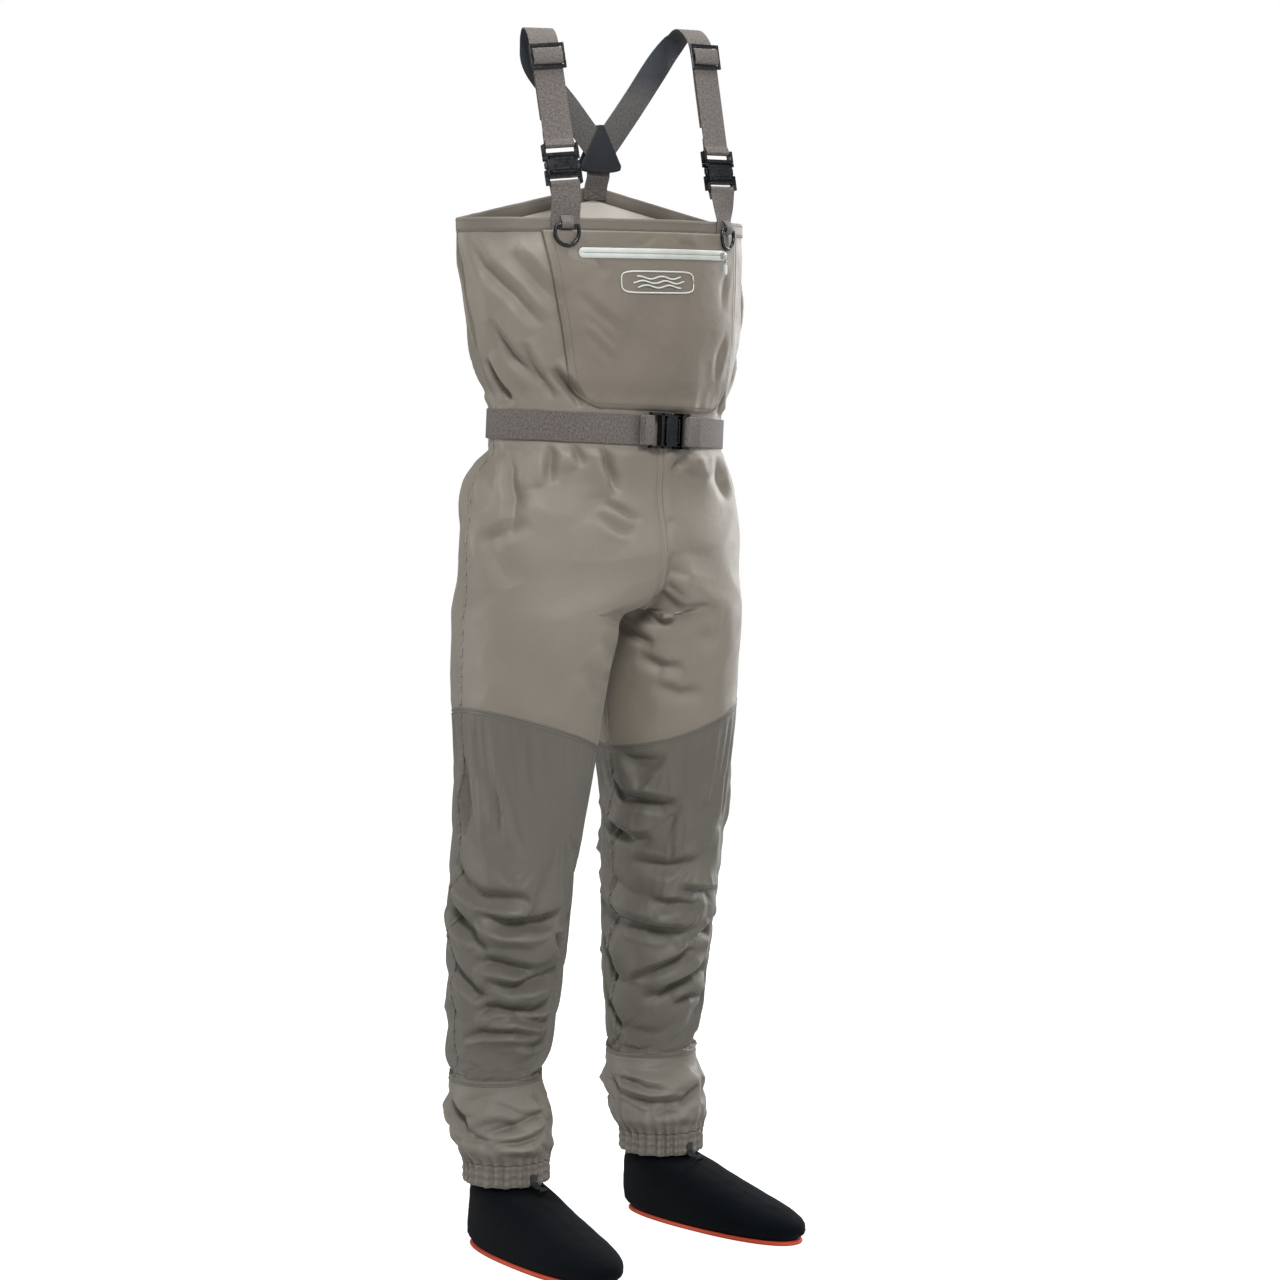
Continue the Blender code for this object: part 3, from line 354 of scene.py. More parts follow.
def webbing_material(name, colour, over_shoulder=None):
    """Woven webbing: ribs across it, their grooves painted darker as painted shade, and heathered yarn;
    another colour, if given, over the shoulder, partly the strap's own dark colour and partly painted shade.
    """
    n = Nodes(name)
    ribs = n.bands(1.5 * MM, "Y", "UV", 0.6)
    yarn = n.bands(0.9 * MM, "X", "UV", 1.0)
    fleck = n.noise(290, 6, (1.0, 1.6, 1), "UV", 0.8)
    tone = n.mix(n.span(fleck, 0.38, 0.62, 0, 1), scaled(colour, 0.46), scaled(colour, 1.62))
    # The grooves between the ribs are painted darker: painted shade.
    tone = n.mix(n.span(ribs, 0.0, 0.45, 0.55, 0.0), tone, scaled(colour, 0.48))
    if over_shoulder:
        level = n.add("ShaderNodeSeparateXYZ", {"Vector": n.place.outputs["Object"]}).outputs["Z"]
        tone = n.mix(n.span(level, 1.500, 1.535, 0, 0.85), tone, over_shoulder)
    height = n.times(ribs, n.span(yarn, 0, 1, 0.6, 1.0))
    n.set(Base_Color=tone, Roughness=0.8, Sheen_Weight=0.08, Sheen_Roughness=0.5)
    n.bump([(height, 0.8, 0.30 * MM), (n.noise(2600, 2, coordinates="UV"), 0.25, 0.08 * MM)])
    return n.material


def plastic_material(name, colour, roughness):
    """Moulded acetal: spark-eroded texture, and edges painted paler as wear and as painted highlight."""
    n = Nodes(name)
    # Edges painted paler: partly wear, partly painted highlight.
    wear_and_highlight = n.times(n.ridges(), 0.5)
    n.set(Base_Color=n.mix(wear_and_highlight, colour, scaled(colour, 2.2)), Specular_IOR_Level=0.5)
    n.uneven_roughness(220, roughness - 0.06, roughness + 0.10)
    n.bump([(n.noise(4200, 2), 0.25, 0.05 * MM)])
    return n.material


def neoprene_material(name, colour):
    """Jersey-faced neoprene: a tiny knit, faint lint and soft sheen."""
    n = Nodes(name)
    loops = n.times(n.bands(1.1 * MM, "X", "Object", 1.2), n.bands(0.9 * MM, "Z", "Object", 1.2))
    lint = n.span(n.noise(520, 5), 0.62, 0.72, 0, 0.35)
    tone = n.mix(lint, n.blotches(9, 3, colour, 0.75, 1.25), rgb(26, 32, 42))
    n.set(Base_Color=tone, Roughness=0.9, Sheen_Weight=0.02, Specular_IOR_Level=0.10)
    n.bump([(loops, 0.5, 0.18 * MM), (n.noise(60, 3), 0.3, 0.6 * MM)])
    return n.material


def rubber_material(name, colour):
    n = Nodes(name)
    n.set(Base_Color=n.blotches(14, 4, colour, 0.8, 1.15), Roughness=0.7)
    n.bump([(n.noise(900, 3), 0.4, 0.15 * MM)])
    return n.material


def plain_material(name, colour, roughness, metallic=0.0):
    n = Nodes(name)
    n.set(Base_Color=n.blotches(30, 3, colour, 0.88, 1.1), Metallic=metallic)
    n.uneven_roughness(160, roughness - 0.05, roughness + 0.08)
    n.bump([(n.noise(1500, 2), 0.3, 0.06 * MM)])
    return n.material


SHELL = cloth_material("shell_cloth", rgb(126, 119, 108))
FRONT = cloth_material("pocket_cloth", rgb(114, 106, 95), 0.57)
HEM = cloth_material("hem_cloth", rgb(107, 101, 92))
KNEE = cloth_material("knee_cloth", rgb(96, 92, 84), 0.55)
GUARDS = cloth_material("guard_cloth", rgb(113, 108, 99), 0.56)
LINING = cloth_material("lining_cloth", rgb(206, 200, 192), 0.6)
WEB_GREY = webbing_material("webbing", rgb(98, 92, 88))
WEB_UNDER = webbing_material("webbing_underside", rgb(82, 79, 77), rgb(36, 44, 52))
NAVY = cloth_material("navy_patch", rgb(20, 25, 33), 0.66, 0.03)
PLASTIC = plastic_material("black_plastic", rgb(15, 17, 20), 0.25)
NEOPRENE = neoprene_material("sock_neoprene", rgb(2, 6, 11))
SOLE = rubber_material("sole_rubber", rgb(196, 72, 44))
ZIP_SILVER = plain_material("zip_tape", rgb(190, 194, 189), 0.38)
ZIP_DARK = plain_material("zip_teeth", rgb(120, 126, 124), 0.45)
STEEL = plain_material("zip_metal", rgb(196, 198, 198), 0.28, 1.0)
REFLECT = plain_material("reflective", rgb(200, 202, 198), 0.35)
THREAD = plain_material("thread", rgb(110, 104, 94), 0.8)
THREAD_DARK = plain_material("thread_dark", rgb(60, 57, 53), 0.8)


# ---------------------------------------------------------------- small tools
def mm(rows):
    return [tuple(value * MM for value in row) for row in rows]


def bell(x, width):
    return np.exp(-((x / width) ** 2))


def ramp(x):
    x = np.clip(x, 0, 1)
    return x * x * (3 - 2 * x)


def add_piece(name, data, mat, nodes="", body="waders"):
    """Puts a mesh or curve on a body, in place of the CAD nodes named."""
    piece = bpy.data.objects.new(name, data)
    data.materials.append(mat)
    scene.collection.objects.link(piece)
    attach(piece, body)
    if nodes:
        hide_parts(*nodes.split())
    return piece


def smooth(mesh, angle):
    mesh.shade_smooth()
    mesh.set_sharp_from_angle(angle=radians(angle))


def new_mesh(name, points, faces, outward=True):
    mesh = bpy.data.meshes.new(name)
    mesh.from_pydata(points, [], faces)
    if outward:
        face_outwards(mesh)
    mesh.shade_smooth()
    return mesh


def face_outwards(mesh, weld=None):
    """Joins points closer than weld, if it is given, and turns every face outwards."""
    bm = bmesh.new()
    bm.from_mesh(mesh)
    if weld:
        bmesh.ops.remove_doubles(bm, verts=bm.verts, dist=weld)
    bmesh.ops.recalc_face_normals(bm, faces=bm.faces)
    bm.to_mesh(mesh)
    bm.free()


def numbered(rows, columns, first=0):
    """Vertex numbers, ring by ring."""
    return (first + np.arange(rows * columns).reshape(rows, columns)).tolist()


def skin(rings, closed=True):
    """The quads between each ring of vertex numbers and the next."""
    faces = []
    for lower, upper in zip(rings, rings[1:]):
        quads = list(zip(lower, lower[1:] + lower[:1], upper[1:] + upper[:1], upper))
        faces += quads if closed else quads[:-1]
    return faces


def capped(rings):
    return skin(rings) + [rings[0], rings[-1][::-1]]


def grid_mesh(name, points, closed):
    """A quad mesh from points[row, column]; rows rise, columns run counter-clockwise from above."""
    faces = skin(numbered(*points.shape[:2]), closed)
    mesh = new_mesh(name, points.reshape(-1, 3).tolist(), faces, False)
    mesh.validate()
    return mesh


def cloth_piece(name, points, closed, nodes, mat, thickness=0.9 * MM, inner=None):
    """A cloth panel with a lining face inside it."""
    piece = add_piece(name, grid_mesh(name, points, closed), mat, nodes)
    piece.data.materials.append(inner or LINING)
    wall = piece.modifiers.new("wall", "SOLIDIFY")
    wall.thickness = thickness
    wall.offset = -1
    wall.material_offset = 1
    wall.material_offset_rim = 0
    return piece


def welded_piece(name, points, mat, nodes, body="waders"):
    """A closed form from a grid whose first and last rows meet, or shrink to a point."""
    mesh = grid_mesh(name, points, True)
    face_outwards(mesh, 0.01 * MM)
    return add_piece(name, mesh, mat, nodes, body)


def outward(points, closed=True):
    """Unit normals of a grid of points."""
    if closed:
        across = np.roll(points, -1, 1) - np.roll(points, 1, 1)
    else:
        across = np.gradient(points, axis=1)
    normal = np.cross(across, np.gradient(points, axis=0))
    return normal / np.maximum(np.linalg.norm(normal, axis=2, keepdims=True), 1e-12)


def rough(u, v, seed):
    """Smooth noise from -1 to 1 at each (u, v)."""
    u, v = np.broadcast_arrays(u, v)
    flat = [noise.noise((a, b, seed)) for a, b in zip(u.ravel().tolist(), v.ravel().tolist())]
    return np.array(flat).reshape(u.shape)


def creased(u, v, seed):
    """Noise with narrow ridges, like lightly crumpled cloth, about -0.5 to 0.5."""
    warp = 0.35 * rough(u * 0.7, v * 0.7, seed + 9.3)
    first = 1 - 2.2 * np.abs(rough(u + warp, v - warp, seed))
    second = 1 - 2.2 * np.abs(rough(u * 2.1 - warp, v * 1.9, seed + 4.1))
    return 0.35 * first + 0.15 * second


def bunched(u, z, wide, tall, seed, wander_z):
    """The buckles of a sleeve pushed down on itself: staggered bulges that sag over the folds below them.

    They wander by noise read at wander_z: z itself, or one height for bulges that line up.
    """
    across = u / wide + 0.55 * rough(u / 0.11, wander_z / 0.10, seed)
    up = z / tall + 0.60 * rough(u / 0.10, wander_z / 0.09, seed + 5.0)
    up = up + 0.25 * rough(u / 0.04, wander_z / 0.05, seed + 8.0)
    turn = 0.5 + 0.5 * np.cos(2 * pi * across)
    total = 0
    for share, phase in ((turn, 0.0), (1 - turn, 0.5)):
        level = (up + phase) % 1.0
        under = np.sin(pi / 2 * np.minimum(level / 0.30, 1.0))
        over = np.cos(pi / 2 * np.clip((level - 0.30) / 0.70, 0, 1))
        total = total + share * np.minimum(under, over)
    return total - 0.6


def crease(u, z, path, width, depth):
    """A fold along a path of (u, z): a narrow valley below a crisp crest that slopes away to its left."""
    points = np.array(path, float)
    lengths = np.hypot(*(points[1:] - points[:-1]).T)
    best = np.full(u.shape, 1e9)
    left = np.zeros(u.shape)
    share = np.zeros(u.shape)
    run = 0.0
    for a, b, length in zip(points[:-1], points[1:], lengths):
        d = (b - a) / length
        t = np.clip((u - a[0]) * d[0] + (z - a[1]) * d[1], 0, length)
        du = u - a[0] - t * d[0]
        dz = z - a[1] - t * d[1]
        gap = np.hypot(du, dz)
        near = gap < best
        best = np.where(near, gap, best)
        left = np.where(near, d[0] * dz - d[1] * du, left)
        share = np.where(near, (run + t) / lengths.sum(), share)
        run += length
    fade = np.sin(pi * share) ** 0.7
    x = best / width
    slope = np.minimum(x / 1.6, 1.0) * np.exp(-np.maximum(x - 1.6, 0) / 2.2)
    return depth * fade * (slope * np.where(left > 0, 0.85, 0.25) - np.exp(-np.abs(x) ** 1.6))


# Each fold is its width and depth in millimetres, then its path as degrees and height.
BIB_FOLDS = [
    (12, 4.5, -172, 1.325, -164, 1.280, -150, 1.245, -140, 1.205),
    (14, 3.5, -150, 1.300, -141, 1.262, -133, 1.235),
    (11, 5.0, -166, 1.215, -158, 1.165, -147, 1.128),
    (9, 4.0, -152, 1.185, -147, 1.140, -142, 1.108),
    (8, 7.0, -140, 1.150, -133, 1.122, -129, 1.098),
    (8, 6.0, -176, 1.160, -170, 1.120, -166, 1.100),
    (11, 4.5, -22, 1.300, -28, 1.250, -24, 1.180, -32, 1.120),
    (12, 4.0, -12, 1.260, -17, 1.190, -10, 1.130),
    (7, 4.0, -40, 1.135, -44, 1.112, -46, 1.098),
    (8, 5.0, -4, 1.150, -8, 1.118, -12, 1.100),
    (15, 4.5, 40, 1.350, 55, 1.270, 48, 1.190, 58, 1.120),
    (15, 4.5, 140, 1.350, 122, 1.280, 130, 1.200, 120, 1.130),
    (16, 4.0, 92, 1.250, 84, 1.180, 90, 1.115),
    (11, 5.0, 20, 1.220, 30, 1.160, 26, 1.110),
    (11, 5.0, 160, 1.230, 150, 1.160, 156, 1.112),
    (8, 4.0, 70, 1.160, 74, 1.125, 71, 1.100),
    (8, 4.0, 108, 1.165, 104, 1.130, 107, 1.100),
]
TROUSER_FOLDS = {
    "right": [
        (4.5, 7.0, -60, 1.053, -64, 1.034, -69, 1.012, -71, 0.990),
        (4.5, 4.0, -66, 0.984, -72, 0.974, -80, 0.958),
        (5, 2.5, -62, 0.968, -70, 0.950, -77, 0.940),
        (5, 5.5, -34, 1.050, -39, 1.030, -43, 1.002),
        (4, 4.0, -47, 1.052, -50, 1.038, -55, 1.026),
        (8, 4.5, -8, 1.050, -20, 1.022, -26, 0.985, -24, 0.940),
        (9, 3.5, 4, 1.045, -6, 1.010, -12, 0.975),
        (12, 3.5, 20, 1.045, 16, 1.005, 8, 0.965),
        (9, 2.2, -34, 0.958, -20, 0.946, -4, 0.930),
        (13, 3.5, -6, 0.965, -14, 0.920, -26, 0.880),
        (6, 3.0, -96, 0.955, -103, 0.950, -108, 0.940),
        (7, 2.5, -100, 0.925, -106, 0.918, -112, 0.920),
        (11, 3.0, -118, 0.900, -128, 0.872, -140, 0.850, -155, 0.838),
        (10, 3.0, -96, 0.842, -112, 0.838, -128, 0.832),
        (11, 2.5, -100, 0.815, -114, 0.792, -126, 0.782),
        (13, 2.5, -85, 0.780, -104, 0.756, -122, 0.748),
        (11, 5.0, 40, 1.040, 52, 1.010, 60, 0.970),
        (12, 5.0, 78, 1.040, 72, 1.000, 80, 0.955),
        (13, 5.0, 60, 0.930, 90, 0.885, 120, 0.862),
        (11, 5.5, 85, 0.850, 115, 0.835, 150, 0.832),
        (13, 4.0, 70, 0.795, 100, 0.775, 135, 0.780),
    ],
    "left": [
        (10, 4.0, -82, 1.046, -76, 1.020, -68, 1.004),
        (7, 2.0, -98, 0.960, -92, 0.954, -84, 0.958),
        (10, 3.5, -48, 1.046, -52, 1.010, -46, 0.980),
        (6, 8.0, -85, 0.918, -90, 0.893, -105, 0.868, -133, 0.846, -153, 0.834),
        (4.5, 3.5, -74, 1.050, -78, 1.034, -84, 1.020),
        (7, 3.5, -140, 0.862, -126, 0.854, -112, 0.850, -94, 0.846),
        (7, 6.5, -158, 0.850, -142, 0.832, -126, 0.822),
        (7, 6.0, -168, 0.825, -152, 0.806, -138, 0.794),
        (9, 4.5, -150, 0.778, -134, 0.764, -116, 0.762),
        (10, 3.5, -140, 0.740, -120, 0.726, -100, 0.728),
        (12, 2.5, -110, 0.810, -98, 0.800, -88, 0.796),
        (10, 5.0, -12, 1.046, -6, 1.015, -10, 0.975),
        (11, 5.0, 40, 1.040, 52, 1.010, 60, 0.970),
        (12, 5.0, 74, 1.040, 80, 1.000, 74, 0.955),
        (13, 5.0, 60, 0.930, 90, 0.890, 120, 0.866),
        (11, 5.5, 85, 0.848, 115, 0.832, 150, 0.830),
        (13, 4.0, 65, 0.790, 100, 0.768, 135, 0.775),
    ],
}
SHIN_FOLDS = {
    "right": [
        (9, 7.0, 20, 0.520, 0, 0.494, -30, 0.480, -62, 0.478, -80, 0.470),
        (10, 10.0, -20, 0.462, -48, 0.450, -80, 0.450, -112, 0.458),
        (10, 7.0, 30, 0.470, 10, 0.452, -18, 0.430, -38, 0.412),
        (8, 7.0, -92, 0.440, -108, 0.412, -118, 0.384),
        (8, 6.5, -20, 0.398, -48, 0.396, -76, 0.388, -96, 0.392),
        (8, 7.0, -34, 0.372, -62, 0.368, -92, 0.376, -118, 0.392),
        (9, 5.5, 10, 0.385, -14, 0.362, -38, 0.345),
        (7, 7.0, -22, 0.330, -50, 0.338, -84, 0.334, -112, 0.345),
        (6, 5.5, -40, 0.322, -66, 0.326, -96, 0.316, -120, 0.322),
        (6, 5.0, -8, 0.292, -34, 0.304, -66, 0.308, -100, 0.296),
        (6, 3.5, -70, 0.290, -98, 0.282, -124, 0.290),
        (12, 4.5, -100, 0.560, -118, 0.530, -132, 0.500),
        (10, 4.0, 8, 0.660, 2, 0.600, 6, 0.550),
        (13, 3.0, -24, 0.640, -32, 0.590, -26, 0.548),
        (10, 8.0, 60, 0.500, 100, 0.482, 150, 0.486),
        (10, 8.0, 70, 0.450, 120, 0.432, 170, 0.440),
        (9, 7.0, 50, 0.405, 95, 0.392, 150, 0.398),
        (9, 7.0, 65, 0.355, 110, 0.345, 160, 0.352),
        (8, 6.0, 40, 0.310, 90, 0.300, 140, 0.306),
        (12, 6.0, 80, 0.560, 120, 0.540, 160, 0.545),
        (13, 4.0, 70, 0.630, 110, 0.612, 150, 0.616),
    ],
    "left": [
        (10, 5.0, -178, 0.655, -158, 0.640, -130, 0.640),
        (9, 6.0, -190, 0.600, -170, 0.588, -148, 0.588, -118, 0.578),
        (9, 7.0, -205, 0.565, -185, 0.545, -158, 0.534, -140, 0.536),
        (10, 5.0, -160, 0.502, -130, 0.500, -98, 0.502),
        (8, 7.0, -120, 0.472, -95, 0.462, -72, 0.456, -52, 0.462),
        (8, 5.0, -140, 0.452, -112, 0.450, -84, 0.444),
        (11, 9.0, -212, 0.440, -180, 0.424, -146, 0.416, -108, 0.410, -76, 0.414),
        (8, 6.0, -112, 0.392, -88, 0.396, -60, 0.404, -44, 0.418),
        (8, 6.0, -155, 0.338, -132, 0.358, -100, 0.378, -66, 0.382),
        (8, 6.0, -140, 0.312, -112, 0.332, -84, 0.348, -56, 0.350),
        (7, 5.0, -110, 0.308, -84, 0.316, -56, 0.312),
        (9, 5.5, -200, 0.390, -184, 0.360, -178, 0.330),
        (8, 4.0, -196, 0.310, -182, 0.290, -170, 0.265),
        (14, 3.0, -70, 0.620, -62, 0.580, -68, 0.540),
        (10, 7.0, 60, 0.505, 100, 0.488, 140, 0.492),
        (10, 7.5, 20, 0.448, 60, 0.436, 110, 0.442),
        (9, 7.0, 30, 0.398, 70, 0.388, 120, 0.394),
        (9, 6.5, 50, 0.350, 90, 0.342, 130, 0.350),
        (8, 6.0, 20, 0.305, 60, 0.298, 120, 0.304),
        (12, 6.0, 60, 0.560, 100, 0.545, 140, 0.550),
    ],
}
GUARD_FOLDS = {
    "right": [
        (8, 7.0, 30, 0.215, 8, 0.190, -8, 0.164, -30, 0.158),
        (7, 5.5, -30, 0.164, -58, 0.172, -86, 0.180, -112, 0.190),
        (6, 4.5, -40, 0.154, -70, 0.154, -104, 0.160),
        (7, 4.5, -100, 0.215, -112, 0.196, -120, 0.176),
        (8, 6.0, 60, 0.180, 110, 0.168, 160, 0.176),
        (8, 5.0, 80, 0.205, 120, 0.196, 165, 0.200),
    ],
    "left": [
        (8, 7.0, -196, 0.205, -176, 0.176, -140, 0.166, -100, 0.166, -64, 0.184, -46, 0.206),
        (7, 4.5, -170, 0.200, -140, 0.186, -112, 0.184),
        (7, 4.0, -136, 0.150, -118, 0.158, -98, 0.152),
        (6, 4.5, -70, 0.160, -58, 0.175, -48, 0.190),
        (8, 6.0, 60, 0.180, 110, 0.168, 150, 0.176),
        (8, 5.0, 40, 0.205, 90, 0.196, 140, 0.200),
    ],
}
# The pocket's folds go by metres across the chest in place of degrees.
POCKET_FOLDS = [
    (9, 2.6, -0.135, 1.318, -0.115, 1.296, -0.085, 1.272),
    (8, 2.6, -0.128, 1.250, -0.105, 1.226, -0.070, 1.196),
    (6, 1.8, -0.122, 1.222, -0.100, 1.204, -0.078, 1.180),
    (6, 1.8, -0.118, 1.200, -0.098, 1.180, -0.082, 1.160),
    (8, 2.4, 0.120, 1.200, 0.104, 1.170, 0.098, 1.140),
    (5, 1.2, 0.020, 1.325, 0.030, 1.312, 0.060, 1.309),
    (5, 1.2, -0.010, 1.322, -0.030, 1.310, -0.060, 1.308),
    (8, 2.0, 0.138, 1.290, 0.120, 1.262, 0.110, 1.230),
]
FOLD_DEPTH = 1.8


def folded(metres_per_degree, angle, z, folds):
    """How far a panel's folds move its cloth."""
    degrees, z = np.broadcast_arrays(np.degrees(angle), z)
    total = np.zeros(z.shape)
    for width, depth, *path in folds:
        middle = sum(path[::2]) / len(path[::2])
        near = (degrees - middle + 180) % 360 - 180 + middle
        places = [(a * metres_per_degree, height) for a, height in zip(path[::2], path[1::2])]
        total += crease(near * metres_per_degree, z, places, width * MM, depth * FOLD_DEPTH * MM)
    return total


# How the cloth solver lets a lower leg hang; it may be a little longer than its place.
SETTLE_FRAMES = 12
SETTLE_LIMIT = 7 * MM
SETTLE_CLOTH = {
    "quality": 6, "mass": 0.12, "tension_stiffness": 20, "compression_stiffness": 20,
    "shear_stiffness": 8, "bending_stiffness": 1.5, "shrink_min": -0.014, "vertex_group_mass": "sewn",
}


def settle(points):
    """Where a tube of cloth, a little longer than its place and sewn at both ends, hangs to."""
    piece = bpy.data.objects.new("hanging_cloth", grid_mesh("hanging_cloth", points, True))
    scene.collection.objects.link(piece)
    rows, columns = points.shape[:2]
    sewn = piece.vertex_groups.new(name="sewn")
    sewn.add(list(range(3 * columns)), 1.0, "ADD")
    sewn.add(list(range((rows - 3) * columns, rows * columns)), 1.0, "ADD")
    cloth = piece.modifiers.new("cloth", "CLOTH")
    cloth.collision_settings.use_collision = False
    for key, value in SETTLE_CLOTH.items():
        setattr(cloth.settings, key, value)
    cloth.settings.effector_weights.gravity = 0.5
    for number in range(1, SETTLE_FRAMES + 1):
        scene.frame_set(number)
    hung = piece.evaluated_get(bpy.context.evaluated_depsgraph_get()).data
    moved = np.empty(rows * columns * 3)
    hung.vertices.foreach_get("co", moved)
    bpy.data.objects.remove(piece)
    scene.frame_set(1)
    shift = moved.reshape(points.shape) - points
    length = np.linalg.norm(shift, axis=2, keepdims=True)
    return points + shift * np.minimum(1.0, SETTLE_LIMIT / np.maximum(length, 1e-9))


def reach_along(points):
    """How far along the line each of its points is."""
    reach = [0.0]
    for a, b in zip(points, points[1:]):
        reach.append(reach[-1] + (b - a).length)
    return reach


def direction_at(points, i):
    return points[min(i + 1, len(points) - 1)] - points[max(i - 1, 0)]


RIBBON_EDGE = [(-1, -0.3), (-0.985, -0.8), (-0.95, -1), (0, -1), (0.95, -1), (0.985, -0.8), (1, -0.3)]
RIBBON_PROFILE = RIBBON_EDGE + [(-a, -b) for a, b in RIBBON_EDGE]


def ribbon_mesh(name, path, normals, width, thickness, per_span=4):
    """Webbing with rounded edges, and a UV map in metres: across it, then along it."""
    path = smooth_path(path, per_span)
    normals = smooth_path(normals, per_span)
    points = []
    for i, point in enumerate(path):
        ahead = direction_at(path, i)
        across = ahead.cross(normals[i]).normalized() * width / 2
        up = across.cross(ahead).normalized() * thickness / 2
        points += [point + a * across + b * up for a, b in RIBBON_PROFILE]
    rings = numbered(len(path), len(RIBBON_PROFILE))
    mesh = new_mesh(name, points, capped(rings))
    uvs = [(a * width / 2, reach) for reach in reach_along(path) for a, _ in RIBBON_PROFILE]
    for loop, corner in zip(mesh.loops, mesh.uv_layers.new(name="webbing").data):
        corner.uv = uvs[loop.vertex_index]
    smooth(mesh, 50)
    return mesh


def webbing(name, path, normals, width, nodes, body="waders", mat=None, thickness=1.4 * MM):
    return add_piece(name, ribbon_mesh(name, path, normals, width, thickness), mat or WEB_GREY, nodes, body)


def flat_loop(name, route, width, place, nodes, body="waders", mat=None, thickness=1.4 * MM):
    """Webbing whose route lies in the YZ plane of a frame."""
    path = [Vector((0, y, z)) for y, z in route]
    across = Vector((1, 0, 0))
    normals = [place.to_3x3() @ across.cross(direction_at(path, i)) for i in range(len(path))]
    return webbing(name, [place @ p for p in path], normals, width, nodes, body, mat, thickness)


def half_turn(centre_z, radius, start, end, count=6):
    turn = [radians(a) for a in steps(start, end, count)]
    return [(radius * cos(a), centre_z + radius * sin(a)) for a in turn]


def place_at(origin, x_axis, z_axis=UP):
    """A frame whose Z is exact and whose X is as near x_axis as it can be; -Y faces outwards."""
    z = Vector(z_axis).normalized()
    x = Vector(x_axis)
    x = (x - x.dot(z) * z).normalized()
    return Matrix.Translation(Vector(origin)) @ Matrix((x, z.cross(x), z)).transposed().to_4x4()


def placed(points, place):
    turn = np.array(place)
    return points @ turn[:3, :3].T + turn[:3, 3]


def moulded(bm, name, place, bevel, mat, nodes, body):
    """Rounds every edge of a form and puts it in its place."""
    bmesh.ops.bevel(
        bm, geom=bm.edges, offset=bevel, segments=3, profile=0.6, affect="EDGES", clamp_overlap=True
    )
    bmesh.ops.transform(bm, matrix=place, verts=bm.verts)
    mesh = bpy.data.meshes.new(name)
    bm.to_mesh(mesh)
    bm.free()
    smooth(mesh, 35)
    add_piece(name, mesh, mat, nodes, body)


def blocks(name, boxes, place, bevel, mat, nodes, body="waders"):
    """Moulded bars and plates, each a box given as its x, y and z spans."""
    bm = bmesh.new()
    for box in boxes:
        low, high = [Vector(corner) for corner in zip(*box)]
        made = bmesh.ops.create_cube(bm, size=1)["verts"]
        bmesh.ops.scale(bm, vec=high - low, verts=made)
        bmesh.ops.translate(bm, vec=(low + high) / 2, verts=made)
    moulded(bm, name, place, bevel, mat, nodes, body)


def plate(name, outline, low_y, high_y, place, bevel, mat, nodes="", body="waders"):
    """A flat outline in XZ extruded along Y, with rounded edges."""
    bm = bmesh.new()
    face = bm.faces.new([bm.verts.new((x, low_y, z)) for x, z in outline])
    extruded = bmesh.ops.extrude_face_region(bm, geom=[face])
    moved = [v for v in extruded["geom"] if isinstance(v, bmesh.types.BMVert)]
    bmesh.ops.translate(bm, vec=(0, high_y - low_y, 0), verts=moved)
    bmesh.ops.recalc_face_normals(bm, faces=bm.faces)
    moulded(bm, name, place, bevel, mat, nodes, body)


# One stitch: two rings of four corners between its two tips, as (along, across, up).
SPINDLE = [(s, a, b) for s in (-0.25, 0.25) for a, b in ((1, 0), (0, 1), (-1, 0), (0, -0.6))]
SPINDLE = [(-0.5, 0, 0), *SPINDLE, (0.5, 0, 0)]


def stitches(name, lines, mat=None, body="waders", pitch=3.6 * MM, length=2.6 * MM, radius=0.42 * MM):
    """Thread along lines of (point, outward normal): one small spindle for each stitch."""
    verts = []
    faces = []
    for line in lines:
        points, normals = [[Vector(v) for v in vectors] for vectors in zip(*line)]
        reach = reach_along(points)
        segment = 0
        for i in range(int(reach[-1] / pitch)):
            middle = (i + 0.5) * pitch
            while reach[segment + 1] < middle:
                segment += 1
            t = (middle - reach[segment]) / max(reach[segment + 1] - reach[segment], 1e-9)
            centre = points[segment].lerp(points[segment + 1], t)
            normal = normals[segment].lerp(normals[segment + 1], t).normalized()
            ahead = (points[segment + 1] - points[segment]).normalized()
            across = ahead.cross(normal).normalized()
            first = len(verts)
            verts += [centre + ahead * s * length + (across * a + normal * b) * radius for s, a, b in SPINDLE]
            for k in range(first + 1, first + 5):
                m = k + 1 if k < first + 4 else first + 1
                faces += [(first, m, k), (k, m, m + 4, k + 4), (first + 9, k + 4, m + 4)]
    return add_piece(name, new_mesh(name, verts, faces), mat or THREAD, body=body)


def tube(name, lines, radius, mat, flat=1.0, nodes="", sides=8):
    """Rounded ridges, such as welded or felled seams, along lines of (point, outward normal)."""
    verts = []
    faces = []
    for line in lines:
        points, normals = [[Vector(v) for v in vectors] for vectors in zip(*line)]
        faces += capped(numbered(len(line), sides, len(verts)))
        for i, (point, normal) in enumerate(zip(points, normals)):
            ahead = direction_at(points, i)
            across = ahead.cross(normal).normalized()
            up = across.cross(ahead).normalized()
            size = radius * (0.15 if i in (0, len(line) - 1) else 1.0)
            for a in steps(0, 2 * pi, sides)[:-1]:
                verts.append(point + across * cos(a) * size + up * sin(a) * size * flat)
    return add_piece(name, new_mesh(name, verts, faces), mat, nodes)


def grid_line(points, normals, row=None, column=None, lift=0.0):
    """A row or column of a displaced grid as a line of (point, normal), lifted off the cloth."""
    where = (row,) if row is not None else (slice(None), column)
    return list(zip(points[where] + normals[where] * lift, normals[where]))


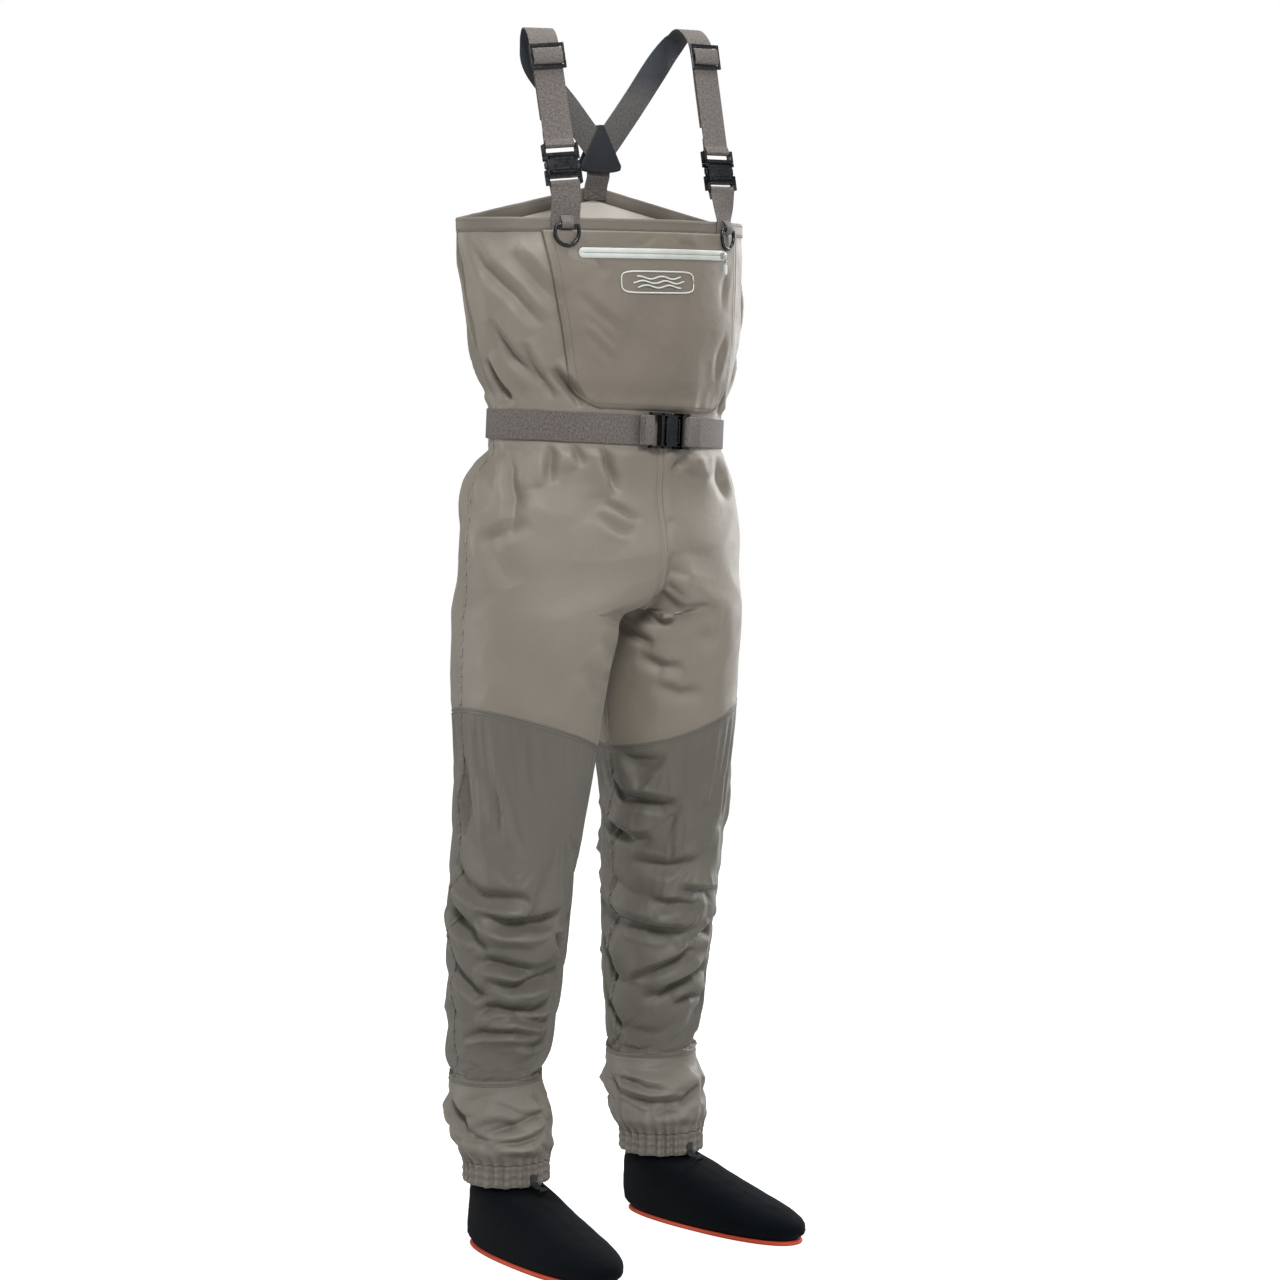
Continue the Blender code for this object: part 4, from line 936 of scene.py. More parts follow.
# ---------------------------------------------------------------- the bib
def hem_height(angle):
    rise = HEM_PEAK_RISE * (1 - np.abs(np.cos(angle)))
    return HEM_Z + np.where(np.sin(angle) > 0, rise, 0.0)


def grip(relief, z):
    """Holds cloth flat under the belt and lets it puff out just past the belt's edges."""
    gap = np.abs(z - WAIST_Z) - BELT_WIDTH / 2
    free = np.where(relief > 0, ramp((gap - 0.001) / 0.014), ramp((gap + 0.006) / 0.012))
    return relief * free + 1.2 * MM * bell(gap - 0.015, 0.008)


def bib_relief(angle, z):
    """How far the bib's cloth stands off its section: folds, gathers at the belt and faint crumples."""
    u = angle * 0.19
    near_belt = np.exp(-np.clip(z - 1.092, 0, 1) / 0.020)
    relief = folded(0.0034, angle, z, BIB_FOLDS)
    relief += 4.5 * MM * near_belt * rough(u / 0.019, z / 0.09, 3.3)
    relief += 7.0 * MM * creased(u / 0.085, z / 0.130, 7.7)
    relief += 2.2 * MM * rough(u / 0.16, z / 0.12, 1.9)
    return grip(relief * ramp((HEM_Z - 0.010 - z) / 0.045 + 0.15), z)


def make_bib():
    angle = turn_round(360)
    low = WAIST_Z - 0.004
    z = low + (hem_height(angle) - 3 * MM - low) * np.linspace(0, 1, 112)[:, None]
    points = torso(angle, z)
    points = points + outward(points) * bib_relief(angle, z)[..., None]
    cloth_piece("bib_shell", points, True, "bib_front bib_back", SHELL)
    seams = []
    for degrees in (1, 178):
        column = column_at(degrees, 360, 360)
        seams.append(grid_line(points[:-2], outward(points)[:-2], column=column, lift=0.3 * MM))
    tube("bib_side_seams", seams, 2.2 * MM, SHELL, 0.35)


def hem_ring(offset, below, count=361):
    angle = np.linspace(-pi, pi, count)
    z = hem_height(angle) - below
    return torso(angle, np.minimum(z, HEM_Z), offset, z)


HEM_OUTSIDE = [(0.9, 18.2), (1.9, 17.6), (2.0, 12), (1.8, 6), (1.9, 1.5), (1.3, 0.2), (0.2, -0.2)]
HEM_INSIDE = [(-1.0, 0.2), (-1.7, 1.5), (-1.8, 8), (-1.9, 17.4), (-1.2, 18.2), (0.0, 18.0), (0.9, 18.2)]
HEM_PROFILE = mm(HEM_OUTSIDE + HEM_INSIDE)


def make_hem():
    """A bound edge: cloth folded over the top, lined inside."""
    points = np.array([hem_ring(offset, below)[:-1] for offset, below in HEM_PROFILE])
    points[..., 2] += 0.35 * MM * rough(np.linspace(0, 60, 360), 0.0, 2.2)
    welded_piece("bib_hem_binding", points, HEM, "bib_hem")
    rows = []
    for below in (3.4 * MM, 15.2 * MM):
        for offset in (2.05 * MM, -1.95 * MM):
            ring = hem_ring(offset, below, 721)
            flat = (ring - ring.mean(0)) * (1, 1, 0) * copysign(1, offset)
            rows.append(list(zip(ring, flat)))
    stitches("hem_stitching", rows)


# ---------------------------------------------------------------- pocket, patch and zip
POCKET_OFFSET = 4.4 * MM
POCKET_TOP_Z = HEM_Z - HEM_BAND + 0.002
POCKET_BOTTOM_Z = 1.0995
POCKET_CORNER = 0.045
ZIP_Z = 1.299
ZIP_HALF = 0.128
ZIP_START_X = 0.118
PRINT_X = -0.010
PRINT_Z = 1.263
PRINT_HALF_WIDTH = 0.059
PRINT_HALF_HEIGHT = 0.0135
WAVE_GAP = 5.6 * MM
WAVE_HEIGHT = 1.7 * MM


def pocket_half_width(z):
    rise = z - POCKET_BOTTOM_Z
    share = rise / (POCKET_TOP_Z - POCKET_BOTTOM_Z)
    below = np.clip(POCKET_CORNER - rise, 0, POCKET_CORNER)
    bite = POCKET_CORNER - np.sqrt(np.maximum(POCKET_CORNER**2 - below**2, 0))
    return 0.128 + 0.038 * share - bite


def chest_angle(x, z):
    return -np.arccos(np.clip(x / read(TORSO_TABLE, z)[0], -1, 1))


def chest(x, z, offset):
    return torso(chest_angle(x, z), z, offset)


def make_pocket():
    corners = POCKET_BOTTOM_Z + 0.05 * np.linspace(0, 1, 36) ** 1.6
    z = np.concatenate([corners, np.linspace(1.152, POCKET_TOP_Z, 70)])[:, None]
    half = pocket_half_width(z)
    across = np.linspace(-1, 1, 150)[None, :]
    x = half * across
    edge = np.minimum((1 - np.abs(across)) * half, np.abs(z - POCKET_BOTTOM_Z))
    puff = 1 - np.exp(-edge / (3.5 * MM))
    relief = np.zeros(x.shape)
    for width, depth, *path in POCKET_FOLDS:
        relief += crease(x, z, list(zip(path[::2], path[1::2])), width * MM, depth * MM)
    relief += 1.6 * MM * creased(x / 0.05, z / 0.06, 5.2) + 1.8 * MM * rough(x / 0.09, z / 0.08, 8.8)
    offset = 2.0 * MM + (POCKET_OFFSET - 2.0 * MM + 1.2 * MM * bell(z - 1.20, 0.07)) * puff
    follow = bib_relief(chest_angle(x, z), z) * np.exp(-edge / 0.03)
    calm = 1 - 0.9 * bell(z - ZIP_Z, 0.013) * ramp((ZIP_HALF + 0.02 - np.abs(x)) / 0.02)
    relief = np.clip(relief, -2.5 * MM, 3 * MM) * puff * calm
    points = chest(x, z, offset + relief + follow * calm)
    cloth_piece("chest_pocket_front", points, False, "chest_pocket", FRONT)
    normals = outward(points, False)
    sides = [grid_line(points[8:], normals[8:], column=c, lift=0.15 * MM) for c in (5, -6)]
    stitches("pocket_stitching", [*sides, grid_line(points, normals, row=9, lift=0.15 * MM)[6:-6]])
    rims = [grid_line(points[1:], normals[1:], column=c, lift=0.2 * MM) for c in (1, -2)]
    tube("pocket_seams", rims, 1.5 * MM, FRONT, 0.45)


def make_patch():
    """A plain reflective print: a rounded frame with three waves in it."""

    def on_chest(x, z):
        point = chest(PRINT_X + x, PRINT_Z + z, POCKET_OFFSET + 3.0 * MM)
        ahead = chest(PRINT_X + x + MM, PRINT_Z + z, POCKET_OFFSET + 3.0 * MM) - point
        return point, (ahead[1], -ahead[0], 0.0)

    lines = [[]]
    for a in steps(0, 2 * pi, 96):
        x = copysign(PRINT_HALF_WIDTH * abs(cos(a)) ** 0.28, cos(a))
        lines[0].append(on_chest(x, copysign(PRINT_HALF_HEIGHT * abs(sin(a)) ** 0.45, sin(a))))
    for k in (-1, 0, 1):
        half = 0.042 - 0.006 * abs(k)
        waves = [(x, k * WAVE_GAP + WAVE_HEIGHT * sin(x / 0.0058 + k)) for x in steps(-half, half, 90)]
        lines.append([on_chest(x, z) for x, z in waves])
    tube("reflective_print", lines, 1.0 * MM, REFLECT, 0.4, "pocket_patch")


def zip_circle():
    offset = POCKET_OFFSET + 2.0 * MM
    middle = chest(0.0, ZIP_Z, offset)
    end = chest(ZIP_HALF, ZIP_Z, offset)
    sagitta = end[1] - middle[1]
    radius = (end[0] ** 2 + sagitta**2) / (2 * sagitta)
    return middle[1] + radius, radius


def zip_line(centre_y, radius, x_from, x_to, count=60):
    turn = [x / radius for x in steps(x_from, x_to, count)]
    return [((radius * sin(a), centre_y - radius * cos(a), ZIP_Z), (sin(a), -cos(a), 0)) for a in turn]


ZIP_LIP = [(6.6, -0.9), (6.4, 0.4), (5.6, 0.8), (1.0, 1.0), (0.35, 0.75)]
ZIP_PROFILE = mm([(-z, lift) for z, lift in ZIP_LIP] + [(0, 0.2)] + ZIP_LIP[::-1])


def make_zip():
    """A welded water-resistant zip: two silver lips that meet over small teeth."""
    centre_y, radius = zip_circle()
    x = np.linspace(-ZIP_HALF, ZIP_HALF, 140)
    end = np.maximum(0.0, (np.abs(x) - (ZIP_HALF - 6.6 * MM)) / (6.6 * MM))
    pinch = np.sqrt(np.maximum(0.0, 1 - end**2)) * 0.98 + 0.02
    sine, cosine = np.sin(x / radius), np.cos(x / radius)
    rows = [stack((radius + lift) * sine, centre_y - (radius + lift) * cosine, ZIP_Z + z * pinch)
            for z, lift in ZIP_PROFILE]
    piece = cloth_piece("zip_lips", np.array(rows), False, "zip_tape", ZIP_SILVER, 0.7 * MM, ZIP_SILVER)
    piece.modifiers["wall"].material_offset = 0
    tube("zip_slit", [zip_line(centre_y, radius + 0.35 * MM, -0.122, 0.112)], 0.45 * MM, ZIP_DARK)
    teeth = zip_line(centre_y, radius + 0.55 * MM, -0.122, 0.122, 120)
    stitches("zip_teeth", [teeth], ZIP_DARK, pitch=2.2 * MM, length=1.3 * MM, radius=0.55 * MM)

    start = ZIP_START_X / radius
    tangent = (cos(start), sin(start), 0)
    axis = place_at((0, centre_y, ZIP_Z), tangent)
    rear = -radius - 1.2 * MM
    front = rear - 3.0 * MM
    corners = mm([(-5, -3.6), (0, -4.4), (3.5, -4.6), (6, -2.5)])
    outline = corners + [(x, -z) for x, z in reversed(corners)]
    plate("zip_slider_body", outline, front, rear, axis, 0.7 * MM, STEEL, "zip_slider", "zip_slider")
    pivot = Vector((0, centre_y, ZIP_Z)) + Vector((sin(start), -cos(start), 0)) * (radius + 6.1 * MM)
    hinge = place_at(pivot, tangent)
    tab = [mm([(-1.9, 1.9), (-1.0, 1.0), (-3.0, 0.9)]), mm([(-1.3, 1.3), (-0.8, 0.8), (-13, -2)])]
    blocks("zip_puller_tab", tab, hinge, 0.5 * MM, STEEL, "zip_puller", "zip_puller")
    corners = mm([(-2.2, -11.5), (-2.9, -15), (-3.1, -22), (-2.2, -24.8)])
    outline = corners + [(-x, z) for x, z in reversed(corners)]
    plate("zip_puller_grip", outline, -1.3 * MM, 1.3 * MM, hinge, 0.7 * MM, ZIP_SILVER, body="zip_puller")


# ---------------------------------------------------------------- trousers
# The height about which each lower leg is bunched, and how far that reaches.
BUNCHED = {"right": (0.375, 0.115), "left": (0.430, 0.175)}


def seam_z(angle):
    return KNEE_SEAM_Z + KNEE_SEAM_TILT * np.cos(angle)


def leg_crumples(angle, z, side):
    """Bulges over gathers that run straight up the leg from its foot seam."""
    u = angle * 0.088
    foot = SHIN_SEAM_Z
    seed = 11.7 if side > 0 else 2.6
    gathers = 6.5 * MM * creased(u / 0.090, foot / 0.042, seed + 2)
    gathers += 1.6 * MM * creased(u / 0.030, foot / 0.018, seed + 3)
    gathers += 8.0 * MM * rough(u / 0.13, foot / 0.080, seed + 6)
    return 5.5 * MM * bunched(u, z, 0.165, 0.064, seed, foot) + gathers


def trouser_relief(angle, z, side, name):
    u = angle * 0.12
    near_belt = np.exp(-np.clip(1.056 - z, 0, 1) / 0.030)
    relief = folded(0.0018, angle, z, TROUSER_FOLDS[name])
    relief += 9.0 * MM * near_belt * creased(u / 0.030, z / 0.16, 6.1 + side)
    relief += 6.0 * MM * creased(u / 0.10, z / 0.12, 4.4 + side)
    relief += 2.4 * MM * rough(u / 0.15, z / 0.16, 0.7 + side)
    relief -= 8.0 * MM * bell(z - 1.018, 0.028) * (0.35 + 0.65 * np.cos(angle / 2 - 0.6) ** 2)
    return grip(relief, z)


def make_trousers(name, side):
    """From the knee seam up, cut off at the centre seam above the crotch."""
    levels = [np.linspace(KNEE_SEAM_Z, CROTCH_Z, 50)[:-1], np.linspace(CROTCH_Z, 0.900, 26)[:-1]]
    heights = np.concatenate([*levels, np.linspace(0.900, WAIST_Z - 0.001, 60)])[:, None]
    centre_x, half = read(LEG_TABLE, heights)[:2]
    cut = np.arccos(np.maximum(-1.0, (CENTRE_GAP - centre_x) / half))
    angle = np.where(heights <= CROTCH_Z + 0.0005, pi, cut) * np.linspace(-side, side, 221)
    z = heights + ramp((0.80 - heights) / (0.80 - KNEE_SEAM_Z)) * KNEE_SEAM_TILT * np.cos(angle)
    points = leg(angle, z, side)
    keep = np.where(z > CROTCH_Z, ramp(np.abs(points[..., 0]) / 0.016), 1.0)
    keep = keep * ramp((z - seam_z(angle)) / 0.02 + 0.25)
    points = points + outward(points, False) * (trouser_relief(angle, z, side, name) * keep)[..., None]
    points[..., 0] = side * np.maximum(side * points[..., 0], CENTRE_GAP)
    below = z[:, 0] <= CROTCH_Z
    points[below, 0] = points[below, -1] = (points[below, 0] + points[below, -1]) / 2
    cloth_piece(f"trouser_cloth_{name}", points, False, f"trouser_{name}", SHELL)
    return points, outward(points, False)


def make_centre_seam(points):
    """The felled seam down the front and round to the back, with twin stitching."""
    above = points[:, 0, 2] > CROTCH_Z + 0.004
    for where, column, facing in (("front", 0, (0, -1, 0)), ("back", -1, (0, 1, 0))):
        line = points[above, column] * (0, 1, 1)
        ridge = [(p, facing) for p in line + np.array(facing) * 0.3 * MM]
        tube(f"centre_seam_{where}", [ridge], 5.6 * MM, SHELL, 0.22)
        line += np.array(facing) * 1.35 * MM
        rows = [[(p + (x, 0, 0), facing) for p in line] for x in (-3.0 * MM, 3.0 * MM)]
        stitches(f"centre_seam_stitching_{where}", rows)


def make_shin(name, side):
    angle = turn_round(208, side)
    z = SHIN_SEAM_Z + (seam_z(angle) - SHIN_SEAM_Z) * np.linspace(0, 1, 180)[:, None]
    points = leg(angle, z, side)
    middle, reach = BUNCHED[name]
    strength = 0.25 + 0.75 * np.exp(-(np.abs(z - middle) / reach) ** 3)
    relief = 1.3 * folded(0.0015, angle, z, SHIN_FOLDS[name]) + leg_crumples(angle, z, side) * strength
    relief += 3.0 * MM * rough(angle * 0.5, z / 0.14, side + 5.5)
    relief = relief * ramp((z - SHIN_SEAM_Z) / 0.03) * ramp((seam_z(angle) - z) / 0.03 + 0.1)
    points = settle(points + outward(points) * relief[..., None])
    cloth_piece(f"shin_cloth_{name}", points, True, f"shin_panel_{name}", KNEE)
    return points, outward(points)


def make_leg_seams(name, side, upper, shin):
    """Knee and ankle seams go round the leg; the side seams run down it, puckered by their thread."""
    rows = []
    for row, lift in ((-1, 0.2), (0, 0.1), (-3, 0.35), (3, 0.35), (5, 0.35)):
        line = grid_line(*shin, row=row, lift=lift * MM)
        rows.append(line + line[:1])
    tube(f"knee_seam_{name}", rows[:1], 1.6 * MM, KNEE, 0.5)
    tube(f"ankle_seam_{name}", rows[1:2], 1.3 * MM, KNEE, 0.45)
    stitched = rows[2:]
    seams = {"lower": [], "upper": []}
    for degrees, stop in ((12, -6), (176, 46)):
        parts = (("lower", shin, slice(2, -2), 208, 208), ("upper", upper, slice(1, stop), 220, 221))
        for part, grid, span, spans, columns in parts:
            column = column_at(degrees, spans, columns, side)
            line = grid_line(*[values[span] for values in grid], column=column, lift=0.2 * MM)
            bumps = [0.7 * MM * sin(i * 1.9) + 0.5 * MM * sin(i * 0.83) for i in range(len(line))]
            puckered = [(p + n * bump, n) for (p, n), bump in zip(line, bumps)]
            seams[part].append(puckered)
            stitched.append([(p + n * 1.1 * MM, n) for p, n in puckered])
    tube(f"side_seams_lower_{name}", seams["lower"], 2.4 * MM, KNEE, 0.5)
    tube(f"side_seams_upper_{name}", seams["upper"], 2.4 * MM, SHELL, 0.5)
    stitches(f"leg_stitching_{name}", stitched)


# ---------------------------------------------------------------- gravel guards and cuffs
PLEATS = 26


def pleat_wave(angle, side):
    """Gathers of uneven width round the ankle, from -1 to 1."""
    wander = 0.55 * np.sin(3 * angle + side) + 0.35 * np.sin(7 * angle + 2 * side)
    return np.sin(PLEATS * angle + wander * 2)


def make_guard(name, side):
    angle = turn_round(300, side)
    z = np.linspace(CUFF_TOP_Z - 0.001, SHIN_SEAM_Z - 0.0006, 60)[:, None]
    radius, centre_y = read(GUARD_TABLE, z)
    gather = np.exp(-np.clip(z - CUFF_TOP_Z, 0, 1) / 0.016)
    u = angle * 0.062
    relief = folded(0.0011, angle, z, GUARD_FOLDS[name])
    relief += 3.5 * MM * creased(u / 0.040, z / 0.028, 9.1 + side)
    relief += 7.0 * MM * bunched(u, z, 0.110, 0.047, 3.1 + side, z)
    relief *= ramp((SHIN_SEAM_Z - z) / 0.03) * ramp((z - CUFF_TOP_Z) / 0.02 + 0.1)
    points = ankle(angle, z, radius + relief + 2.4 * MM * gather * pleat_wave(angle, side), centre_y, side)
    piece = cloth_piece(f"guard_cloth_{name}", points, True, f"gravel_guard_{name}", GUARDS, 0.7 * MM)
    apply_modifiers(piece)
    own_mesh(piece)


def apply_modifiers(piece):
    """Keeps the shape that the modifiers give, and drops the modifiers."""
    bpy.context.view_layer.update()
    graph = bpy.context.evaluated_depsgraph_get()
    shaped = bpy.data.meshes.new_from_object(piece.evaluated_get(graph))
    piece.modifiers.clear()
    piece.data = shaped


def make_cuff(name, side):
    """An elastic casing: tight pleats, pinched by three rows of elastic."""
    angle = turn_round(420, side)
    zigzag = 0.7 * MM * np.sin(PLEATS * angle * 0.5)
    low = CUFF_TOP_Z - CUFF_HEIGHT
    shares = np.linspace(0, 1, 26)
    rows = []
    for share in shares:
        z = low + CUFF_HEIGHT * share
        depth = 1.0 if 0.04 < share < 0.96 else 0.6
        pinch = 0.5 * (1 - cos(share * 2 * pi * 3))
        radius = CUFF_RADIUS + (1.1 * pinch - 0.9) * MM + 2.4 * MM * depth * pleat_wave(angle, side)
        rows.append((radius, z + zigzag * (1 if z > low + 0.015 else -1)))
    rows += [(CUFF_RADIUS - 3.0 * MM, low + CUFF_HEIGHT * share) for share in shares[::5][::-1]]
    points = [ankle(angle, z, radius, CUFF_Y, side)[0] for radius, z in rows + rows[:1]]
    welded_piece(f"cuff_cloth_{name}", np.array(points), GUARDS, f"guard_cuff_{name}", f"cuff_{name}")


# ---------------------------------------------------------------- feet
def foot_outline(front, behind, half_width, taper, z, centre_x=0.0):
    row = []
    for angle in steps(0, 2 * pi, 72)[:-1]:
        x = copysign(half_width * abs(cos(angle)) ** 0.86, cos(angle))
        length = copysign(abs(sin(angle)) ** 0.92, sin(angle))
        narrow = 1 - taper * (length + 1) / 2
        row.append((centre_x + x * narrow, (front + behind) / 2 + (behind - front) / 2 * length, z))
    return np.array(row)


# The sole's edge from its underside up: height, and how far it stands past the outline.
SOLE_EDGE = mm([(0.0, -3.0), (0.0, -1.0), (0.8, 0.0), (2.2, 0.5), (3.6, 0.2), (4.5, -0.6), (5.4, -3.0)])


def make_foot(name, side):
    turn = side * TOE_OUT
    origin = (side * FOOT_CENTRE[0], FOOT_CENTRE[1] + BODY_SHIFT_Y, 0)
    place = place_at(origin, (cos(turn), sin(turn), 0))
    rows = []
    for z in np.concatenate([np.linspace(0.005, 0.09, 46), np.linspace(0.093, 0.150, 14)]):
        rows.append(foot_outline(*read(SOCK_TABLE, z), z, side * ANKLE_SHIFT_X * min(z / 0.1, 1.0)))
    points = np.array(rows)
    x, y, z = np.moveaxis(points, 2, 0)
    relief = 1.6 * MM * creased(x / 0.05, z / 0.02 + y / 0.05, 1.1 + side) * ramp((z - 0.02) / 0.03)
    relief += 0.9 * MM * bell(z - 0.017, 0.0012)
    top_seam = 0.8 * MM * bell(x - side * ANKLE_SHIFT_X * z * 10, 0.0013)
    relief += top_seam * (y < 0.06) * ramp((z - 0.03) / 0.01)
    points = placed(points + outward(points) * relief[..., None], place)
    cloth_piece(f"sock_knit_{name}", points, True, f"sock_{name}", NEOPRENE, 3.0 * MM, NEOPRENE)
    outline = foot_outline(-0.153, 0.147, 0.0485, 0.16, 0.0)
    out = outline / np.linalg.norm(outline, axis=1, keepdims=True)
    rings = [outline * 0]
    for z, grow in SOLE_EDGE:
        rings.append(outline + out * grow + (0, 0, z))
    rings.append(outline * 0 + (0, 0, z))
    sole = welded_piece(f"sole_pad_{name}", placed(np.array(rings), place), SOLE, f"sole_{name}")
    smooth(sole.data, 40)


# ---------------------------------------------------------------- buckles
WEB = 1.4 * MM
GAP = 0.4 * MM
STRAP_WIDTH = 0.039
STRAP_X = {"right": 0.137, "left": 0.130}
STRAP_LEAN_X = 0.002
STRAP_HEM_Y = -0.0915 + BODY_SHIFT_Y
STRAP_TOP_Y = -0.048 + BODY_SHIFT_Y
STRAP_TOP_Z = 1.555
STRAP_YAW = {"right": radians(22), "left": radians(3)}
PATCH_LAYER_Y = {"right": 7.4 * MM + BODY_SHIFT_Y, "left": 9.3 * MM + BODY_SHIFT_Y}
BUCKLE_UP = 0.068
SLIDER_UP = {"right": 0.206, "left": 0.220}
Y_PATCH_Z = 1.437
BELT_BUCKLE_X = 0.004
BELT_GAP_HALF = 0.030
BELT_OFFSET = 2.2 * MM
BELT_LOOP_X = 0.075
BUCKLE_DEPTH = 4.6 * MM
BAR_DEPTH = 1.6 * MM
BAR_HEIGHT = 3.0 * MM
MOUTH = 10.0 * MM
LOOP_RADIUS = hypot(BAR_DEPTH, BAR_HEIGHT / 2) + GAP + WEB / 2
FULL_DEPTH = (-BUCKLE_DEPTH, BUCKLE_DEPTH)


def mirrored(low, high):
    """A span on the negative side, and the same on the positive side."""
    return (-high, -low), (low, high)


def webbing_bar(inner, low):
    return (-inner, inner), (-BAR_DEPTH, BAR_DEPTH), (low, low + BAR_HEIGHT)


def make_female(name, webbing_width, body_length, slot_length, place, node):
    """A sleeve of two plates, with side rails, a floor, a webbing bar and a framed face."""
    half = webbing_width / 2 + 4.0 * MM
    inner = webbing_width / 2 + 0.5 * MM
    floor = MOUTH - body_length
    bottom = floor - slot_length
    shoulder = floor + 9 * MM
    plates = mirrored(2.9 * MM, BUCKLE_DEPTH)
    boxes = [((-half, half), y, (floor, shoulder)) for y in plates]
    boxes += [((-inner, inner), y, (floor + 2 * MM, MOUTH)) for y in plates]
    boxes.append(((-half, half), FULL_DEPTH, (floor - 1.5 * MM, floor + 3.5 * MM)))
    boxes += [((-half, half), y, (MOUTH - 5 * MM, MOUTH)) for y in mirrored(2.5 * MM, BUCKLE_DEPTH)]
    boxes += [(x, FULL_DEPTH, (bottom, shoulder)) for x in mirrored(inner, half)]
    boxes.append(webbing_bar(inner, bottom))
    middle = (floor + 2 * MM + MOUTH) / 2
    reach = (MOUTH - floor) / 2 - 4 * MM
    face = (-BUCKLE_DEPTH - 0.55 * MM, -BUCKLE_DEPTH + 0.3 * MM)
    line = 1.5 * MM
    for tall, wide in ((reach, inner - 4 * MM), (reach * 0.62, (inner - 4 * MM) * 0.6)):
        for z in mirrored(tall - line, tall):
            boxes.append(((-wide, wide), face, (middle + z[0], middle + z[1])))
        for x in mirrored(wide - line, wide):
            boxes.append((x, face, (middle - tall, middle + tall)))
    blocks(name, boxes, place, 0.45 * MM, PLASTIC, node)
    return bottom + BAR_HEIGHT / 2


def make_male(name, webbing_width, base, place, body, node):
    half = webbing_width / 2 + 4.0 * MM
    inner = webbing_width / 2 + 0.5 * MM
    low = MOUTH + GAP
    top = MOUTH + base
    boxes = [((-half, half), FULL_DEPTH, (low, low + 4 * MM))]
    boxes += [(x, FULL_DEPTH, (low, top)) for x in mirrored(inner, half)]
    boxes.append(webbing_bar(inner, top - BAR_HEIGHT))
    blocks(name, boxes, place, 0.6 * MM, PLASTIC, node, body)
    return top - BAR_HEIGHT / 2


def make_prong(name, webbing_width, direction, place, node):
    root_x = webbing_width / 2 - 6.5 * MM
    wing_x = (webbing_width / 2 + 3.6 * MM - root_x) / MM
    outline = mm([(-2.2, -0.2), (-2.2, -17), (0.5, -19), (4.5, -17.5),
                  (wing_x, -14.5), (wing_x, -7.0), (4.0, -4.5), (2.2, -0.2)])
    if direction < 0:
        outline = [(-x, z) for x, z in reversed(outline)]
    root = place @ Matrix.Translation((direction * root_x, 0, MOUTH))
    plate(name, outline, -2.0 * MM, 2.0 * MM, root, 0.4 * MM, PLASTIC, node, node)


def fold_route(before, bar_z, end, after):
    """Webbing folded round a buckle's bar: the points before and after are in millimetres from the bar."""
    before, after = [[(y, bar_z + z) for y, z in mm(part)] for part in (before, after)]
    return before + half_turn(bar_z, LOOP_RADIUS, 180, end) + after


# ---------------------------------------------------------------- suspenders
def strap_axes(name):
    """Where a strap meets the hem, and its directions: along it, across it and out from the chest."""
    side = SIDES[name]
    hem = Vector((side * STRAP_X[name], STRAP_HEM_Y, HEM_Z))
    top = Vector((side * (STRAP_X[name] + STRAP_LEAN_X), STRAP_TOP_Y, STRAP_TOP_Z))
    run = (top - hem).normalized()
    across = Vector((cos(STRAP_YAW[name]), -sin(STRAP_YAW[name]), 0))
    across = (across - across.dot(run) * run).normalized()
    return hem, run, across, across.cross(run)


def sewn_box(name, place, centre_z, size, y, body="waders"):
    """A stitched square with a cross in it."""
    w, h = size
    corners = [(-w, -h), (w, -h), (w, h), (-w, h), (-w, -h)]
    normal = place.to_3x3() @ Vector((0, -1, 0))
    lines = []
    for ends in [*zip(corners, corners[1:]), corners[0:3:2], corners[1:4:2]]:
        lines.append([(place @ Vector((x, y, centre_z + z)), normal) for x, z in ends])
    stitches(name, lines, THREAD_DARK, body, pitch=2.4 * MM, length=1.8 * MM, radius=0.35 * MM)


def make_shoulder(name, side):
    hem, run, across, out = strap_axes(name)
    buckle = place_at(hem + run * BUCKLE_UP, across, run)
    female = f"shoulder_buckle_female_{name}"
    low_bar = make_female(f"shoulder_female_{name}", STRAP_WIDTH, 26 * MM, 10 * MM, buckle, female)
    body = f"shoulder_male_{name}"
    male = f"shoulder_buckle_male_{name}"
    bar_z = make_male(f"shoulder_plug_{name}", STRAP_WIDTH, 16 * MM, buckle, body, male)
    for which, direction in (("outer", side), ("inner", -side)):
        node = f"shoulder_prong_{which}_{name}"
        make_prong(f"shoulder_arm_{which}_{name}", STRAP_WIDTH, direction, buckle, node)
    slider_z = SLIDER_UP[name] - BUCKLE_UP
    route = [(-0.2 * MM, slider_z - 6 * MM), (-0.2 * MM, 0.080)]
    route += fold_route([(-0.2, 12), (-1.6, 6)], bar_z, 360, [(1.7, 6), (1.4, 18)])
    flat_loop(f"strap_run_{name}", route, STRAP_WIDTH, buckle, f"strap_front_layer_{name}", body)
    make_slider(name, place_at(hem + run * SLIDER_UP[name], across, run))
    make_strap(name, side, hem, run, out)
    make_anchor_webbing(name, side, hem + run * BUCKLE_UP, run, out, low_bar)


